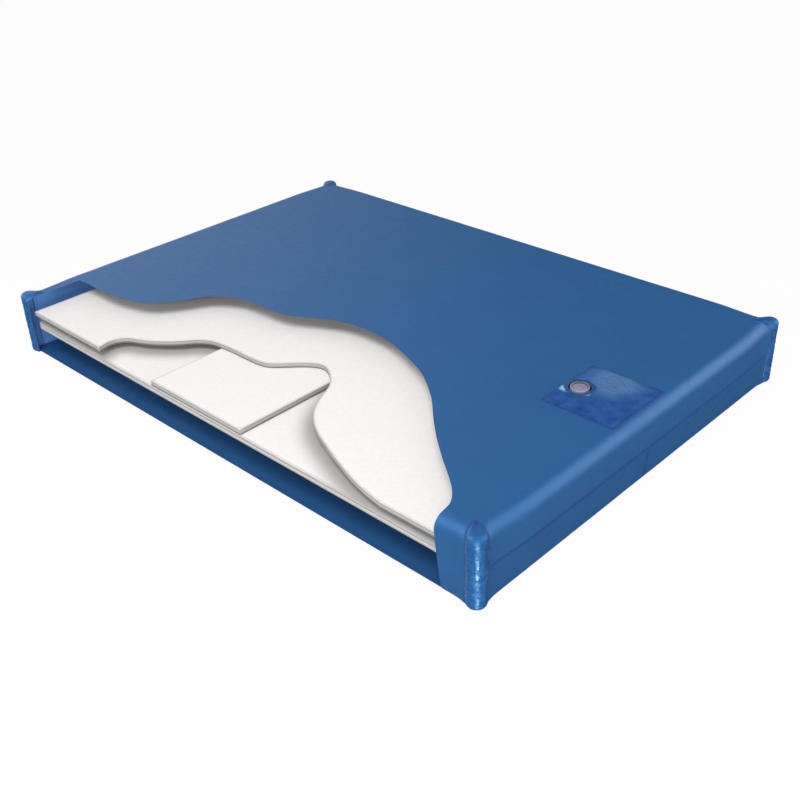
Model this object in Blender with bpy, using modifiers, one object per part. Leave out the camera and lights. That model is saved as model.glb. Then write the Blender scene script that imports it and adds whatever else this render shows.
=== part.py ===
# Hard-side waterbed mattress, shown cut open at its near long side.
# X runs along the bed with the foot end and the valve at +X, Y across it, Z up.
# The origin lies on the floor under the middle of the mattress. Metres throughout.

from math import cos, pi, radians, sin, sqrt

import bmesh
import bpy
from mathutils import Matrix, Vector

# Bladder, from wall to wall
BED_LENGTH = 2.134
BED_WIDTH = 1.524
BED_HEIGHT = 0.2286
VINYL = 0.0006
GAP = 0.0003
CORNER_RADIUS = 0.042
SHOULDER_RADIUS = 0.040
FLOOR_EDGE_RADIUS = 0.004
FLOOR_DRAW_IN = 0.003
WALL_BULGE = 0.010
BULGE_RUN = 0.220
CORNER_FLARE = 0.005
FLARE_RUN = 0.080
CORNER_SEGMENTS = 8
SHOULDER_SEGMENTS = 6
FLOOR_EDGE_SEGMENTS = 2
WALL_LEVELS = 4
BULGE_STEPS = 2
FLARE_STEPS = 3

# Welded seams
END_SEAM_SHARE = 0.48775
LAP = 0.012
END_SEAM_STOP = 0.040
HEM_HEIGHT = 0.006
FLOOR_UPSTAND = 0.016
SEAM_TAPE_WIDTH = 0.026

# Corner gussets
GUSSET_WALL = 0.0012
GUSSET_RADIUS = 0.0286
GUSSET_LENGTH = 0.090
GUSSET_REACH = 0.006
GUSSET_TOP_ROUND = 0.016
GUSSET_FOOT_ROUND = 0.012
GUSSET_RISE = 0.0012
GUSSET_NOSE_STEPS = 10
GUSSET_TAIL_STEPS = 5
GUSSET_TOP_STEPS = 4
GUSSET_FOOT_STEPS = 3

# Cut-out of the near long side, where the wall is away from the post to the stub
POST_CUT_TOP = 0.067
POST_CUT_WALL = 0.042
POST_CUT_FLOOR = 0.032
STUB_LENGTH_TOP = 0.138
STUB_LENGTH_FLOOR = 0.122
NEAR_FLOOR_TRIM = 0.0065
CUT_RESOLUTION = 5
OVERRUN = 0.020

# Wave of the top sheet's cut edge: shares of half the length and half the width
TOP_CUT_SHARES = (
    (-0.758, -0.738), (-0.622, -0.690), (-0.524, -0.528), (-0.418, -0.384), (-0.262, -0.357),
    (-0.092, -0.277), (0.032, -0.216), (0.177, -0.223), (0.384, -0.329), (0.583, -0.559),
    (0.752, -0.762), (0.848, -0.880),
)
TOP_CUT_HEAD_SHARE = -0.741
TOP_CUT_STUB_SHARE = -0.956

# Fibre insert
FIBER_HEADROOM = 0.0598
FIBER_PLY = 0.0115
PLY_SLIT = 0.0012
LUMBAR_THICKNESS = 0.0210
TOP_FIBER = 0.0200
FIBER_EDGE_ROUND = 0.004
FIBER_CORNER = 0.025
FIBER_HEAD_GAP = 0.052
FIBER_FOOT_GAP = 0.038
FIBER_FAR_GAP = 0.030
FIBER_NEAR_GAP = 0.007
LUMBAR_WIDTH = 0.450
LUMBAR_SHIFT = -0.080

# Wave of the top fibre's cut edge: shares of half the length and half the width
FIBER_CUT_SHARES = (
    (-0.569, -0.930), (-0.546, -0.860), (-0.467, -0.802), (-0.390, -0.712), (-0.325, -0.630),
    (-0.224, -0.613), (-0.075, -0.604), (-0.004, -0.515), (0.054, -0.458), (0.107, -0.476),
    (0.157, -0.534), (0.188, -0.610), (0.234, -0.726), (0.300, -0.805), (0.431, -0.891),
    (0.564, -0.958),
)
FIBER_CUT_START_SHARE = -0.557
FIBER_CUT_END_SHARE = 0.694

# Tabs that hold the fibre by its edges
TAB_WIDTH = 0.120
TAB_REACH = 0.110
TAB_DROP = 0.030
TAB_SPACING_SHARE = 0.5

# Filling valve
VALVE_FOOT_MARGIN = 0.232
VALVE_Y = -0.015
VALVE_HOLE = 0.0360
PATCH_LENGTH = 0.252
PATCH_WIDTH = 0.268
PATCH_CORNER = 0.006
PATCH_FOOT_MARGIN = 0.0035
FLANGE_RADIUS = 0.0500
FLANGE_THICKNESS = 0.0012
SKIRT_THICKNESS = 0.0008
SKIRT_DEPTH = 0.0280
SKIRT_LIP = 0.0080
SKIRT_TAPER = 0.0010
STEM_BASE_RADIUS = 0.0325
STEM_BASE_THICKNESS = 0.0016
STEM_OUTER = 0.0232
STEM_BORE = 0.0185
PLUG_LIP_RADIUS = 0.0222
PLUG_LIP_THICKNESS = 0.0015
PLUG_LENGTH = 0.0068
PLUG_WALL = 0.0020
PLUG_KNOB_RADIUS = 0.0050
PLUG_TAPER = 0.0006
GASKET_THICKNESS = 0.0015
GASKET_BORE = 0.0120
CAP_RADIUS = 0.0305
CAP_WALL_CLEARANCE = 0.0010
CAP_HEIGHT = 0.0150
CAP_PLATE = 0.0020
CAP_RECESS_DEPTH = 0.0030
CAP_RIM = 0.0036
CAP_PROUD = 0.0008
CAP_EDGE_ROUND = 0.0012
GRIP_COUNT = 24
GRIP_RADIUS = 0.0011
TURN_STEPS = 48
GRIP_SIDES = 8

# Places that follow from the sizes above
HALF_LENGTH = BED_LENGTH / 2
HALF_WIDTH = BED_WIDTH / 2
SHELL_STEP = VINYL + GAP
SHOULDER_START = BED_HEIGHT - SHOULDER_RADIUS
END_SEAM_HEIGHT = BED_HEIGHT * END_SEAM_SHARE
GUSSET_CREST = BED_HEIGHT + GAP + GUSSET_RISE
SEAM_END = HALF_WIDTH - END_SEAM_STOP
POST_CUT_X = POST_CUT_TOP - HALF_LENGTH
POST_WALL_X = POST_CUT_WALL - HALF_LENGTH
STUB_CUT_X = HALF_LENGTH - STUB_LENGTH_TOP
FIBER_STACK = 2 * FIBER_PLY + PLY_SLIT + LUMBAR_THICKNESS + 2 * GAP + TOP_FIBER
FIBER_LOW = BED_HEIGHT - FIBER_HEADROOM - FIBER_STACK
FIBER_MID = FIBER_LOW + FIBER_PLY + PLY_SLIT
FIBER_DECK = FIBER_MID + FIBER_PLY
TOP_FIBER_LOW = FIBER_DECK + GAP + LUMBAR_THICKNESS + GAP
VALVE_X = HALF_LENGTH - VALVE_FOOT_MARGIN
SKIN_UNDERSIDE = BED_HEIGHT - VINYL
FLANGE_TOP = SKIN_UNDERSIDE - GAP
CAP_TOP = BED_HEIGHT + SHELL_STEP + CAP_PROUD
PLATE_UNDERSIDE = CAP_TOP - CAP_RECESS_DEPTH - CAP_PLATE
GASKET_TOP = PLATE_UNDERSIDE - GAP
GASKET_UNDERSIDE = GASKET_TOP - GASKET_THICKNESS
PLUG_TOP = GASKET_UNDERSIDE - GAP
STEM_TOP = PLUG_TOP - PLUG_LIP_THICKNESS - GAP
SKIRT_BASE = BED_HEIGHT - SKIRT_DEPTH
STEM_BASE = SKIRT_BASE + SKIRT_THICKNESS + GAP
CAP_BORE = STEM_OUTER + CAP_WALL_CLEARANCE

BLUE_VINYL = (0.030, 0.105, 0.270, 1.0)
NAVY_VINYL = (0.012, 0.050, 0.150, 1.0)
GLOSSY_BLUE = (0.020, 0.130, 0.420, 1.0)
PATCH_BLUE = (0.022, 0.070, 0.290, 1.0)
FIBER_WHITE = (0.905, 0.880, 0.870, 1.0)
VALVE_GREY = (0.330, 0.340, 0.400, 1.0)
CLEAR_GREY = (0.480, 0.520, 0.600, 1.0)
RUBBER = (0.060, 0.060, 0.065, 1.0)


def clear_scene():
    for old in list(bpy.data.objects):
        bpy.data.objects.remove(old, do_unlink=True)


def make_collection(name):
    group = bpy.data.collections.new(name)
    bpy.context.scene.collection.children.link(group)
    return group


def make_material(name, color, roughness):
    material = bpy.data.materials.new(name)
    material.use_nodes = True
    shader = material.node_tree.nodes["Principled BSDF"]
    shader.inputs["Base Color"].default_value = color
    shader.inputs["Roughness"].default_value = roughness
    shader.inputs["Metallic"].default_value = 0
    return material


def add_mesh_object(name, mesh, group, material=None):
    item = bpy.data.objects.new(name, mesh)
    group.objects.link(item)
    if material is not None:
        item.data.materials.append(material)
    return item


def as_cutter(item):
    item.hide_render = True
    item.display_type = "WIRE"
    return item


def subtract(item, cutter):
    cut = item.modifiers.new("cut " + cutter.name, "BOOLEAN")
    cut.operation = "DIFFERENCE"
    cut.solver = "EXACT"
    cut.object = cutter


def thicken_inward(item, thickness):
    wall = item.modifiers.new("wall", "SOLIDIFY")
    wall.thickness = thickness
    wall.offset = -1
    wall.use_even_offset = True
    wall.use_rim = True


# A filled bag's walls lean out from the floor to the shoulder, by the bulge's share there
def wall_lean(z, share=1):
    rise = max(0.0, min(1.0, z / SHOULDER_START))
    return -FLOOR_DRAW_IN + (FLOOR_DRAW_IN + WALL_BULGE * share) * sin(rise * pi / 2)


# Share of a run along the wall that a spot on the core's edge has gone from the round corner
def run_share(spot, run):
    along = max(HALF_LENGTH - abs(spot.x), HALF_WIDTH - abs(spot.y)) - CORNER_RADIUS
    return max(0.0, min(1.0, along / (run - CORNER_RADIUS)))


# The gussets hold the corners back: the bulge grows along its run and the walls flare to the seams
def wall_shift(spot, z):
    grown = run_share(spot, BULGE_RUN)
    flared = 1 - run_share(spot, FLARE_RUN)
    return wall_lean(z, grown * grown * (3 - 2 * grown)) + CORNER_FLARE * flared * flared


# The bag's surface, drawn in by inset: a block with round corners, shoulders and floor edges
def bladder_form(inset, floor_z, top_z):
    bm = bmesh.new()
    bmesh.ops.create_cube(bm, size=1)
    size = Vector((BED_LENGTH - 2 * inset, BED_WIDTH - 2 * inset, top_z - floor_z))
    bmesh.ops.scale(bm, vec=size, verts=bm.verts)
    bmesh.ops.translate(bm, vec=(0, 0, (top_z + floor_z) / 2), verts=bm.verts)
    upright = [e for e in bm.edges if abs(e.verts[0].co.z - e.verts[1].co.z) > size.z / 2]
    round_edges(bm, upright, CORNER_RADIUS - inset, CORNER_SEGMENTS)
    round_edges(bm, rim_edges(bm, top_z), SHOULDER_RADIUS - inset, SHOULDER_SEGMENTS)
    round_edges(bm, rim_edges(bm, floor_z), FLOOR_EDGE_RADIUS - inset, FLOOR_EDGE_SEGMENTS)
    for level in range(1, WALL_LEVELS + 1):
        slice_mesh(bm, (0, 0, SHOULDER_START * level / (WALL_LEVELS + 1)), (0, 0, 1))
    core = Vector((HALF_LENGTH - CORNER_RADIUS, HALF_WIDTH - CORNER_RADIUS))
    for run, steps in ((BULGE_RUN, BULGE_STEPS), (FLARE_RUN, FLARE_STEPS)):
        for step in range(1, steps + 1):
            along = (run - CORNER_RADIUS) * step / steps
            for side in (-1, 1):
                slice_mesh(bm, (side * (core.x - along), 0, 0), (1, 0, 0), core)
                slice_mesh(bm, (0, side * (core.y - along), 0), (0, 1, 0), core)
    for vert in bm.verts:
        near = Vector((
            max(-core.x, min(core.x, vert.co.x)), max(-core.y, min(core.y, vert.co.y)),
        ))
        outward = Vector((vert.co.x, vert.co.y)) - near
        if outward.length > 0:
            outward.normalize()
            shift = wall_shift(near, vert.co.z)
            vert.co.x += outward.x * shift
            vert.co.y += outward.y * shift
    return bm


def round_edges(bm, edges, radius, segments):
    bmesh.ops.bevel(
        bm, geom=edges, offset=radius, segments=segments, profile=0.5, affect="EDGES",
        offset_type="OFFSET", clamp_overlap=True,
    )


def rim_edges(bm, z):
    return [e for e in bm.edges if all(abs(v.co.z - z) < GAP / 2 for v in e.verts)]


# Cuts the mesh along a plane, or with a core given only the walls and shoulders round it
def slice_mesh(bm, point, normal, core=None):
    faces = [f for f in bm.faces if core is None or outside_core(f.calc_center_median(), core)]
    chosen = set(faces)
    edges = [e for e in bm.edges if chosen.intersection(e.link_faces)]
    verts = [v for v in bm.verts if chosen.intersection(v.link_faces)]
    bmesh.ops.bisect_plane(bm, geom=faces + edges + verts, plane_co=point, plane_no=normal)


def outside_core(spot, core):
    return abs(spot.x) > core.x or abs(spot.y) > core.y


def drop_faces(bm, unwanted):
    faces = [f for f in bm.faces if unwanted(f.calc_center_median())]
    bmesh.ops.delete(bm, geom=faces, context="FACES")


def to_mesh(bm, name):
    mesh = bpy.data.meshes.new(name)
    bm.to_mesh(mesh)
    bm.free()
    return mesh


def shade(item, angle=radians(30)):
    item.data.shade_smooth()
    item.data.set_sharp_from_angle(angle=angle)


# A flat outline standing thickness high on base; smooth points are rounded through, others are corners
def outline_slab(name, points, base, thickness, group, material=None):
    curve = bpy.data.curves.new(name, "CURVE")
    curve.dimensions = "2D"
    curve.fill_mode = "BOTH"
    curve.extrude = thickness / 2
    curve.resolution_u = CUT_RESOLUTION
    spline = curve.splines.new("BEZIER")
    spline.bezier_points.add(len(points) - 1)
    spline.use_cyclic_u = True
    for knot, (x, y, smooth) in zip(spline.bezier_points, points):
        knot.co = (x, y, 0)
        kind = "AUTO" if smooth else "VECTOR"
        knot.handle_left_type = kind
        knot.handle_right_type = kind
    loose = bpy.data.objects.new(name, curve)
    group.objects.link(loose)
    bpy.context.view_layer.update()
    graph = bpy.context.evaluated_depsgraph_get()
    mesh = bpy.data.meshes.new_from_object(loose.evaluated_get(graph))
    bpy.data.objects.remove(loose)
    bm = bmesh.new()
    bm.from_mesh(mesh)
    bmesh.ops.remove_doubles(bm, verts=bm.verts, dist=GAP / 10)
    bmesh.ops.dissolve_degenerate(bm, edges=bm.edges, dist=GAP / 10)
    bmesh.ops.translate(bm, vec=(0, 0, base + thickness / 2), verts=bm.verts)
    bmesh.ops.recalc_face_normals(bm, faces=bm.faces)
    bm.to_mesh(mesh)
    bm.free()
    return add_mesh_object(name, mesh, group, material)


def corner(x, y):
    return (x, y, False)


def wave(shares):
    return [(x * HALF_LENGTH, y * HALF_WIDTH, True) for x, y in shares]


def soften(item, radius):
    edge = item.modifiers.new("soft edge", "BEVEL")
    edge.width = radius
    edge.segments = 2
    edge.limit_method = "ANGLE"
    edge.angle_limit = radians(60)


# A turned piece: the profile is (radius, height) and runs down its outer side
def turned(name, profile, group, material, closed=True):
    bm = bmesh.new()
    verts = [bm.verts.new((radius, 0, z)) for radius, z in profile]
    for start, end in zip(verts, verts[1:]):
        bm.edges.new((start, end))
    if closed:
        bm.edges.new((verts[-1], verts[0]))
    item = add_mesh_object(name, to_mesh(bm, name), group, material)
    item.location = (VALVE_X, VALVE_Y, 0)
    spin = item.modifiers.new("turn", "SCREW")
    spin.axis = "Z"
    spin.angle = 2 * pi
    spin.steps = TURN_STEPS
    spin.render_steps = TURN_STEPS
    spin.use_merge_vertices = True
    spin.merge_threshold = GAP / 10
    spin.use_smooth_shade = True
    return item


# The sheet that makes the top, the far side and the upper half of both ends
def top_sheet(group, cutters, material):
    bm = bladder_form(0, 0, BED_HEIGHT)
    slice_mesh(bm, (0, 0, HEM_HEIGHT), (0, 0, 1))
    slice_mesh(bm, (0, 0, END_SEAM_HEIGHT), (0, 0, 1))
    for side in (-1, 1):
        slice_mesh(bm, (0, side * SEAM_END, 0), (0, 1, 0))
    drop_faces(bm, lambda c: c.z < HEM_HEIGHT)
    drop_faces(bm, lambda c: c.z < END_SEAM_HEIGHT and abs(c.y) < SEAM_END)
    item = add_mesh_object("top_sheet", to_mesh(bm, "top_sheet"), group, material)
    shade(item)
    thicken_inward(item, VINYL)
    subtract(item, top_cutter(cutters))
    subtract(item, near_wall_cutter(cutters))
    subtract(item, valve_hole_cutter(cutters))
    return item


# Everything of the top that is cut away, from the shoulder up
def top_cutter(cutters):
    outside = -HALF_WIDTH - WALL_BULGE - OVERRUN
    points = [
        corner(POST_WALL_X, outside),
        corner(POST_WALL_X, -HALF_WIDTH),
        corner(POST_CUT_X, SHOULDER_RADIUS - HALF_WIDTH),
        corner(POST_CUT_X, TOP_CUT_HEAD_SHARE * HALF_WIDTH),
    ]
    points += wave(TOP_CUT_SHARES)
    points += [
        (STUB_CUT_X - VINYL, TOP_CUT_STUB_SHARE * HALF_WIDTH, True),
        corner(STUB_CUT_X, outside),
    ]
    base = SHOULDER_START - GAP
    height = SHOULDER_RADIUS + OVERRUN
    return as_cutter(outline_slab("top cut-out", points, base, height, cutters))


# The near long wall, cut away between the left post and the stub at the foot
def near_wall_cutter(cutters):
    top = SHOULDER_START
    low = -OVERRUN
    points = [
        corner(POST_WALL_X, top),
        corner(POST_CUT_FLOOR - HALF_LENGTH, low),
        corner(HALF_LENGTH - STUB_LENGTH_FLOOR, low),
        corner(STUB_CUT_X, top),
    ]
    depth = WALL_BULGE + CORNER_RADIUS + OVERRUN
    cutter = outline_slab("near wall cut", points, 0, depth, cutters)
    cutter.rotation_euler = (pi / 2, 0, 0)
    cutter.location = (0, CORNER_RADIUS - HALF_WIDTH, 0)
    return as_cutter(cutter)


def valve_hole_cutter(cutters):
    bm = bmesh.new()
    bmesh.ops.create_cone(
        bm, cap_ends=True, segments=TURN_STEPS, radius1=VALVE_HOLE, radius2=VALVE_HOLE,
        depth=2 * OVERRUN,
    )
    item = add_mesh_object("valve hole", to_mesh(bm, "valve hole"), cutters)
    item.location = (VALVE_X, VALVE_Y, BED_HEIGHT)
    return as_cutter(item)


# Half of the floor, with the lower half of both ends folded up from it
def floor_sheet(name, side, group, material):
    bm = bladder_form(SHELL_STEP, 0, BED_HEIGHT)
    flap_top = END_SEAM_HEIGHT + LAP
    flap_end = SEAM_END + LAP
    near_edge = NEAR_FLOOR_TRIM - HALF_WIDTH
    slice_mesh(bm, (0, 0, flap_top), (0, 0, 1))
    slice_mesh(bm, (0, 0, FLOOR_UPSTAND), (0, 0, 1))
    slice_mesh(bm, (0, side * flap_end, 0), (0, 1, 0))
    slice_mesh(bm, (0, side * GAP / 2, 0), (0, 1, 0))
    drop_faces(bm, lambda c: c.z > flap_top)
    drop_faces(bm, lambda c: c.z > FLOOR_UPSTAND and abs(c.y) > flap_end)
    drop_faces(bm, lambda c: side * c.y < GAP / 2)
    if side < 0:
        post = POST_CUT_FLOOR - HALF_LENGTH
        stub = HALF_LENGTH - STUB_LENGTH_FLOOR
        slice_mesh(bm, (0, near_edge, 0), (0, 1, 0))
        slice_mesh(bm, (post, 0, 0), (1, 0, 0))
        slice_mesh(bm, (stub, 0, 0), (1, 0, 0))
        drop_faces(bm, lambda c: c.y < near_edge and post < c.x < stub)
    item = add_mesh_object(name, to_mesh(bm, name), group, material)
    shade(item)
    thicken_inward(item, VINYL)
    return item


# The tape inside the floor's middle seam, carried up both ends
def floor_seam_tape(group, material):
    bm = bladder_form(2 * SHELL_STEP, SHELL_STEP, BED_HEIGHT)
    half = SEAM_TAPE_WIDTH / 2
    flap_top = END_SEAM_HEIGHT + LAP
    slice_mesh(bm, (0, 0, flap_top), (0, 0, 1))
    for side in (-1, 1):
        slice_mesh(bm, (0, side * half, 0), (0, 1, 0))
    drop_faces(bm, lambda c: c.z > flap_top or abs(c.y) > half)
    item = add_mesh_object("floor_seam_tape", to_mesh(bm, "floor_seam_tape"), group, material)
    shade(item)
    thicken_inward(item, VINYL)
    return item


# Plan of a gusset in its own frame: x runs out along the diagonal from the corner of the bed's rectangle
def gusset_outline(radius, tail):
    points = []
    middle = GUSSET_REACH - GUSSET_RADIUS
    for step in range(GUSSET_NOSE_STEPS + 1):
        turn = -pi / 2 + pi * step / GUSSET_NOSE_STEPS
        points.append((middle + radius * cos(turn), radius * sin(turn)))
    one_side = [step / GUSSET_TAIL_STEPS for step in range(1, GUSSET_TAIL_STEPS)]
    points += [(middle - tail * share, radius * (1 - share * share)) for share in one_side]
    points.append((middle - tail, 0))
    points += [(middle - tail * share, radius * (share * share - 1)) for share in one_side[::-1]]
    return points


# Heights of the rings, each with how far the outline is drawn in
def gusset_rings(inset, floor_z, crest):
    foot = GUSSET_FOOT_ROUND - inset
    tip = GUSSET_TOP_ROUND - inset
    rings = []
    for step in range(GUSSET_FOOT_STEPS + 1):
        turn = pi / 2 * step / GUSSET_FOOT_STEPS
        rings.append((floor_z + foot * (1 - cos(turn)), foot * (1 - sin(turn))))
    for step in range(GUSSET_TOP_STEPS + 1):
        turn = pi / 2 * step / GUSSET_TOP_STEPS
        rings.append((crest - tip * (1 - sin(turn)), tip * (1 - cos(turn))))
    return rings


# A post with a round nose, a pointed tail over the bag's shoulder and soft ends
def gusset_form(inset, floor_z, crest):
    bm = bmesh.new()
    rings = []
    for z, draw_in in gusset_rings(inset, floor_z, crest):
        away = inset + draw_in
        outline = gusset_outline(GUSSET_RADIUS - away, GUSSET_LENGTH - GUSSET_RADIUS - away)
        rings.append([bm.verts.new((x, y, z)) for x, y in outline])
    bm.faces.new(rings[0][::-1])
    for below, above in zip(rings, rings[1:]):
        for index in range(len(below)):
            after = (index + 1) % len(below)
            bm.faces.new((below[index], below[after], above[after], above[index]))
    bm.faces.new(rings[-1])
    return bm


def place_at_corner(item, end, side):
    item.location = (end * HALF_LENGTH, side * HALF_WIDTH, 0)
    item.rotation_euler = (0, 0, Vector((end, side)).angle_signed(Vector((1, 0))))


# A hollow welded post round one corner, open towards the bag
def corner_gusset(name, end, side, bag, group, cutters, material):
    item = add_mesh_object(name, to_mesh(gusset_form(0, 0, GUSSET_CREST), name), group, material)
    place_at_corner(item, end, side)
    shade(item)
    hollow = gusset_form(GUSSET_WALL, GUSSET_WALL, GUSSET_CREST - GUSSET_WALL)
    core = add_mesh_object(name + " hollow", to_mesh(hollow, name + " hollow"), cutters)
    place_at_corner(core, end, side)
    subtract(item, as_cutter(core))
    subtract(item, bag)
    return item


# The bag's outer form with a hair's clearance, to cut what is welded on it
def bag_cutter(cutters):
    bm = bladder_form(-GAP, -GUSSET_FOOT_ROUND, BED_HEIGHT + GAP)
    return as_cutter(add_mesh_object("bag form", to_mesh(bm, "bag form"), cutters))


def rectangle(x0, x1, y0, y1):
    return [corner(x0, y0), corner(x1, y0), corner(x1, y1), corner(x0, y1)]


def rounded_rectangle(x0, x1, y0, y1, radius):
    bend = radius * (1 - sqrt(1 / 2))
    return [
        corner(x0 + radius, y0), corner(x1 - radius, y0), corner(x1 - bend, y0 + bend),
        corner(x1, y0 + radius), corner(x1, y1 - radius), corner(x1 - bend, y1 - bend),
        corner(x1 - radius, y1), corner(x0 + radius, y1), corner(x0 + bend, y1 - bend),
        corner(x0, y1 - radius), corner(x0, y0 + radius), corner(x0 + bend, y0 + bend),
    ]


# Bounds of the fibre sheets inside the bag
def fiber_bounds():
    return (
        FIBER_HEAD_GAP - HALF_LENGTH, HALF_LENGTH - FIBER_FOOT_GAP,
        FIBER_NEAR_GAP - HALF_WIDTH, HALF_WIDTH - FIBER_FAR_GAP,
    )


def fiber_insert(group, material):
    x0, x1, y0, y1 = fiber_bounds()
    sheet = rounded_rectangle(x0, x1, y0, y1, FIBER_CORNER)
    pieces = [
        outline_slab("lower_fiber_ply", sheet, FIBER_LOW, FIBER_PLY, group, material),
        outline_slab("upper_fiber_ply", sheet, FIBER_MID, FIBER_PLY, group, material),
    ]
    pad = rectangle(LUMBAR_SHIFT - LUMBAR_WIDTH / 2, LUMBAR_SHIFT + LUMBAR_WIDTH / 2, y0, y1)
    base = FIBER_DECK + GAP
    pieces.append(outline_slab("lumbar_pad", pad, base, LUMBAR_THICKNESS, group, material))
    cut = [corner(FIBER_CUT_START_SHARE * HALF_LENGTH, y0)]
    cut += wave(FIBER_CUT_SHARES)
    cut += [corner(FIBER_CUT_END_SHARE * HALF_LENGTH, y0)]
    cover = [corner(x0, y0)] + cut + rounded_rectangle(x0, x1, y0, y1, FIBER_CORNER)[1:10]
    pieces.append(outline_slab("top_fiber_sheet", cover, TOP_FIBER_LOW, TOP_FIBER, group, material))
    for piece in pieces:
        soften(piece, FIBER_EDGE_ROUND)
        shade(piece)


# A vinyl angle welded inside a wall, its leaf lying in the slit between the two plies
def fiber_tab(name, reach_from, turn, place, group, material):
    leaf_low = FIBER_LOW + FIBER_PLY + (PLY_SLIT - VINYL) / 2
    leaf_top = leaf_low + VINYL
    foot = leaf_top - TAB_DROP
    outer_top = reach_from(leaf_top)
    outer_foot = reach_from(foot)
    points = [
        corner(outer_foot - VINYL, foot), corner(outer_foot, foot), corner(outer_top, leaf_top),
        corner(outer_top - TAB_REACH, leaf_top), corner(outer_top - TAB_REACH, leaf_low),
        corner(outer_top - VINYL, leaf_low),
    ]
    item = outline_slab(name, points, -TAB_WIDTH / 2, TAB_WIDTH, group, material)
    item.data.transform(Matrix.Rotation(pi / 2, 4, "X"))
    item.location = place
    item.rotation_euler = (0, 0, turn)


def fiber_tabs(group, material):
    along = TAB_SPACING_SHARE * HALF_LENGTH
    across = TAB_SPACING_SHARE * HALF_WIDTH
    spare = 2 * SHELL_STEP
    end_wall = lambda z: HALF_LENGTH + wall_lean(z) - spare
    side_wall = lambda z: HALF_WIDTH + wall_lean(z) - SHELL_STEP
    fiber_tab("foot_fiber_tab_near", end_wall, 0, (0, -across, 0), group, material)
    fiber_tab("foot_fiber_tab_far", end_wall, 0, (0, across, 0), group, material)
    fiber_tab("head_fiber_tab_near", end_wall, pi, (0, -across, 0), group, material)
    fiber_tab("head_fiber_tab_far", end_wall, pi, (0, across, 0), group, material)
    fiber_tab("side_fiber_tab_head", side_wall, pi / 2, (-along, 0, 0), group, material)
    fiber_tab("side_fiber_tab_foot", side_wall, pi / 2, (along, 0, 0), group, material)


# The patch welded on the top sheet round the valve
def valve_patch(group, cutters, material):
    x1 = HALF_LENGTH + WALL_BULGE - SHOULDER_RADIUS - PATCH_FOOT_MARGIN
    outline = rounded_rectangle(
        x1 - PATCH_LENGTH, x1, VALVE_Y - PATCH_WIDTH / 2, VALVE_Y + PATCH_WIDTH / 2, PATCH_CORNER,
    )
    item = outline_slab("valve_patch", outline, BED_HEIGHT + GAP, VINYL, group, material)
    subtract(item, bpy.data.objects["valve hole"])
    return item


def valve_flange(group, material):
    top = FLANGE_TOP
    low = top - FLANGE_THICKNESS
    profile = [(FLANGE_RADIUS, top), (FLANGE_RADIUS, low), (VALVE_HOLE, low), (VALVE_HOLE, top)]
    return turned("valve_flange", profile, group, material)


# The soft skirt that lets the stem sink below the surface
def valve_skirt(group, material):
    lip_top = FLANGE_TOP - FLANGE_THICKNESS - GAP
    lip_low = lip_top - SKIRT_THICKNESS
    wall = VALVE_HOLE + SKIRT_THICKNESS
    foot = wall - SKIRT_TAPER
    low = SKIRT_BASE
    floor_top = low + SKIRT_THICKNESS
    profile = [
        (wall + SKIRT_LIP, lip_top), (wall + SKIRT_LIP, lip_low), (wall, lip_low), (foot, low),
        (STEM_OUTER, low), (STEM_OUTER, floor_top), (foot - SKIRT_THICKNESS, floor_top),
        (wall - SKIRT_THICKNESS, lip_top),
    ]
    return turned("valve_skirt", profile, group, material)


def valve_stem(group, material):
    base_top = STEM_BASE + STEM_BASE_THICKNESS
    profile = [
        (STEM_OUTER, STEM_TOP), (STEM_OUTER, base_top), (STEM_BASE_RADIUS, base_top),
        (STEM_BASE_RADIUS, STEM_BASE), (STEM_BORE, STEM_BASE), (STEM_BORE, STEM_TOP),
    ]
    return turned("valve_stem", profile, group, material)


def valve_plug(group, material):
    lip_low = PLUG_TOP - PLUG_LIP_THICKNESS
    body = STEM_BORE - GAP
    low = lip_low - PLUG_LENGTH
    knob_top = PLATE_UNDERSIDE - GAP
    profile = [
        (0, knob_top), (PLUG_KNOB_RADIUS, knob_top), (PLUG_KNOB_RADIUS, PLUG_TOP),
        (PLUG_LIP_RADIUS, PLUG_TOP), (PLUG_LIP_RADIUS, lip_low), (body, lip_low),
        (body - PLUG_TAPER, low), (body - PLUG_TAPER - PLUG_WALL, low),
        (body - PLUG_WALL, lip_low), (0, lip_low),
    ]
    return turned("valve_plug", profile, group, material, closed=False)


def cap_gasket(group, material):
    outer = CAP_BORE - GAP
    profile = [
        (outer, GASKET_TOP), (outer, GASKET_UNDERSIDE), (GASKET_BORE, GASKET_UNDERSIDE),
        (GASKET_BORE, GASKET_TOP),
    ]
    return turned("cap_gasket", profile, group, material)


# The screw cap: a raised rim round a sunk disc, with grip flutes down its side
def valve_cap(group, cutters, material):
    low = CAP_TOP - CAP_HEIGHT
    inner = CAP_RADIUS - CAP_RIM
    sunk = CAP_TOP - CAP_RECESS_DEPTH
    edge = CAP_EDGE_ROUND
    profile = [
        (0, sunk), (inner, sunk), (inner, CAP_TOP - edge), (inner + edge, CAP_TOP),
        (CAP_RADIUS - edge, CAP_TOP), (CAP_RADIUS, CAP_TOP - edge), (CAP_RADIUS, low),
        (CAP_BORE, low), (CAP_BORE, PLATE_UNDERSIDE), (0, PLATE_UNDERSIDE),
    ]
    item = turned("valve_cap", profile, group, material, closed=False)
    subtract(item, grip_cutter(cutters))
    return item


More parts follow.
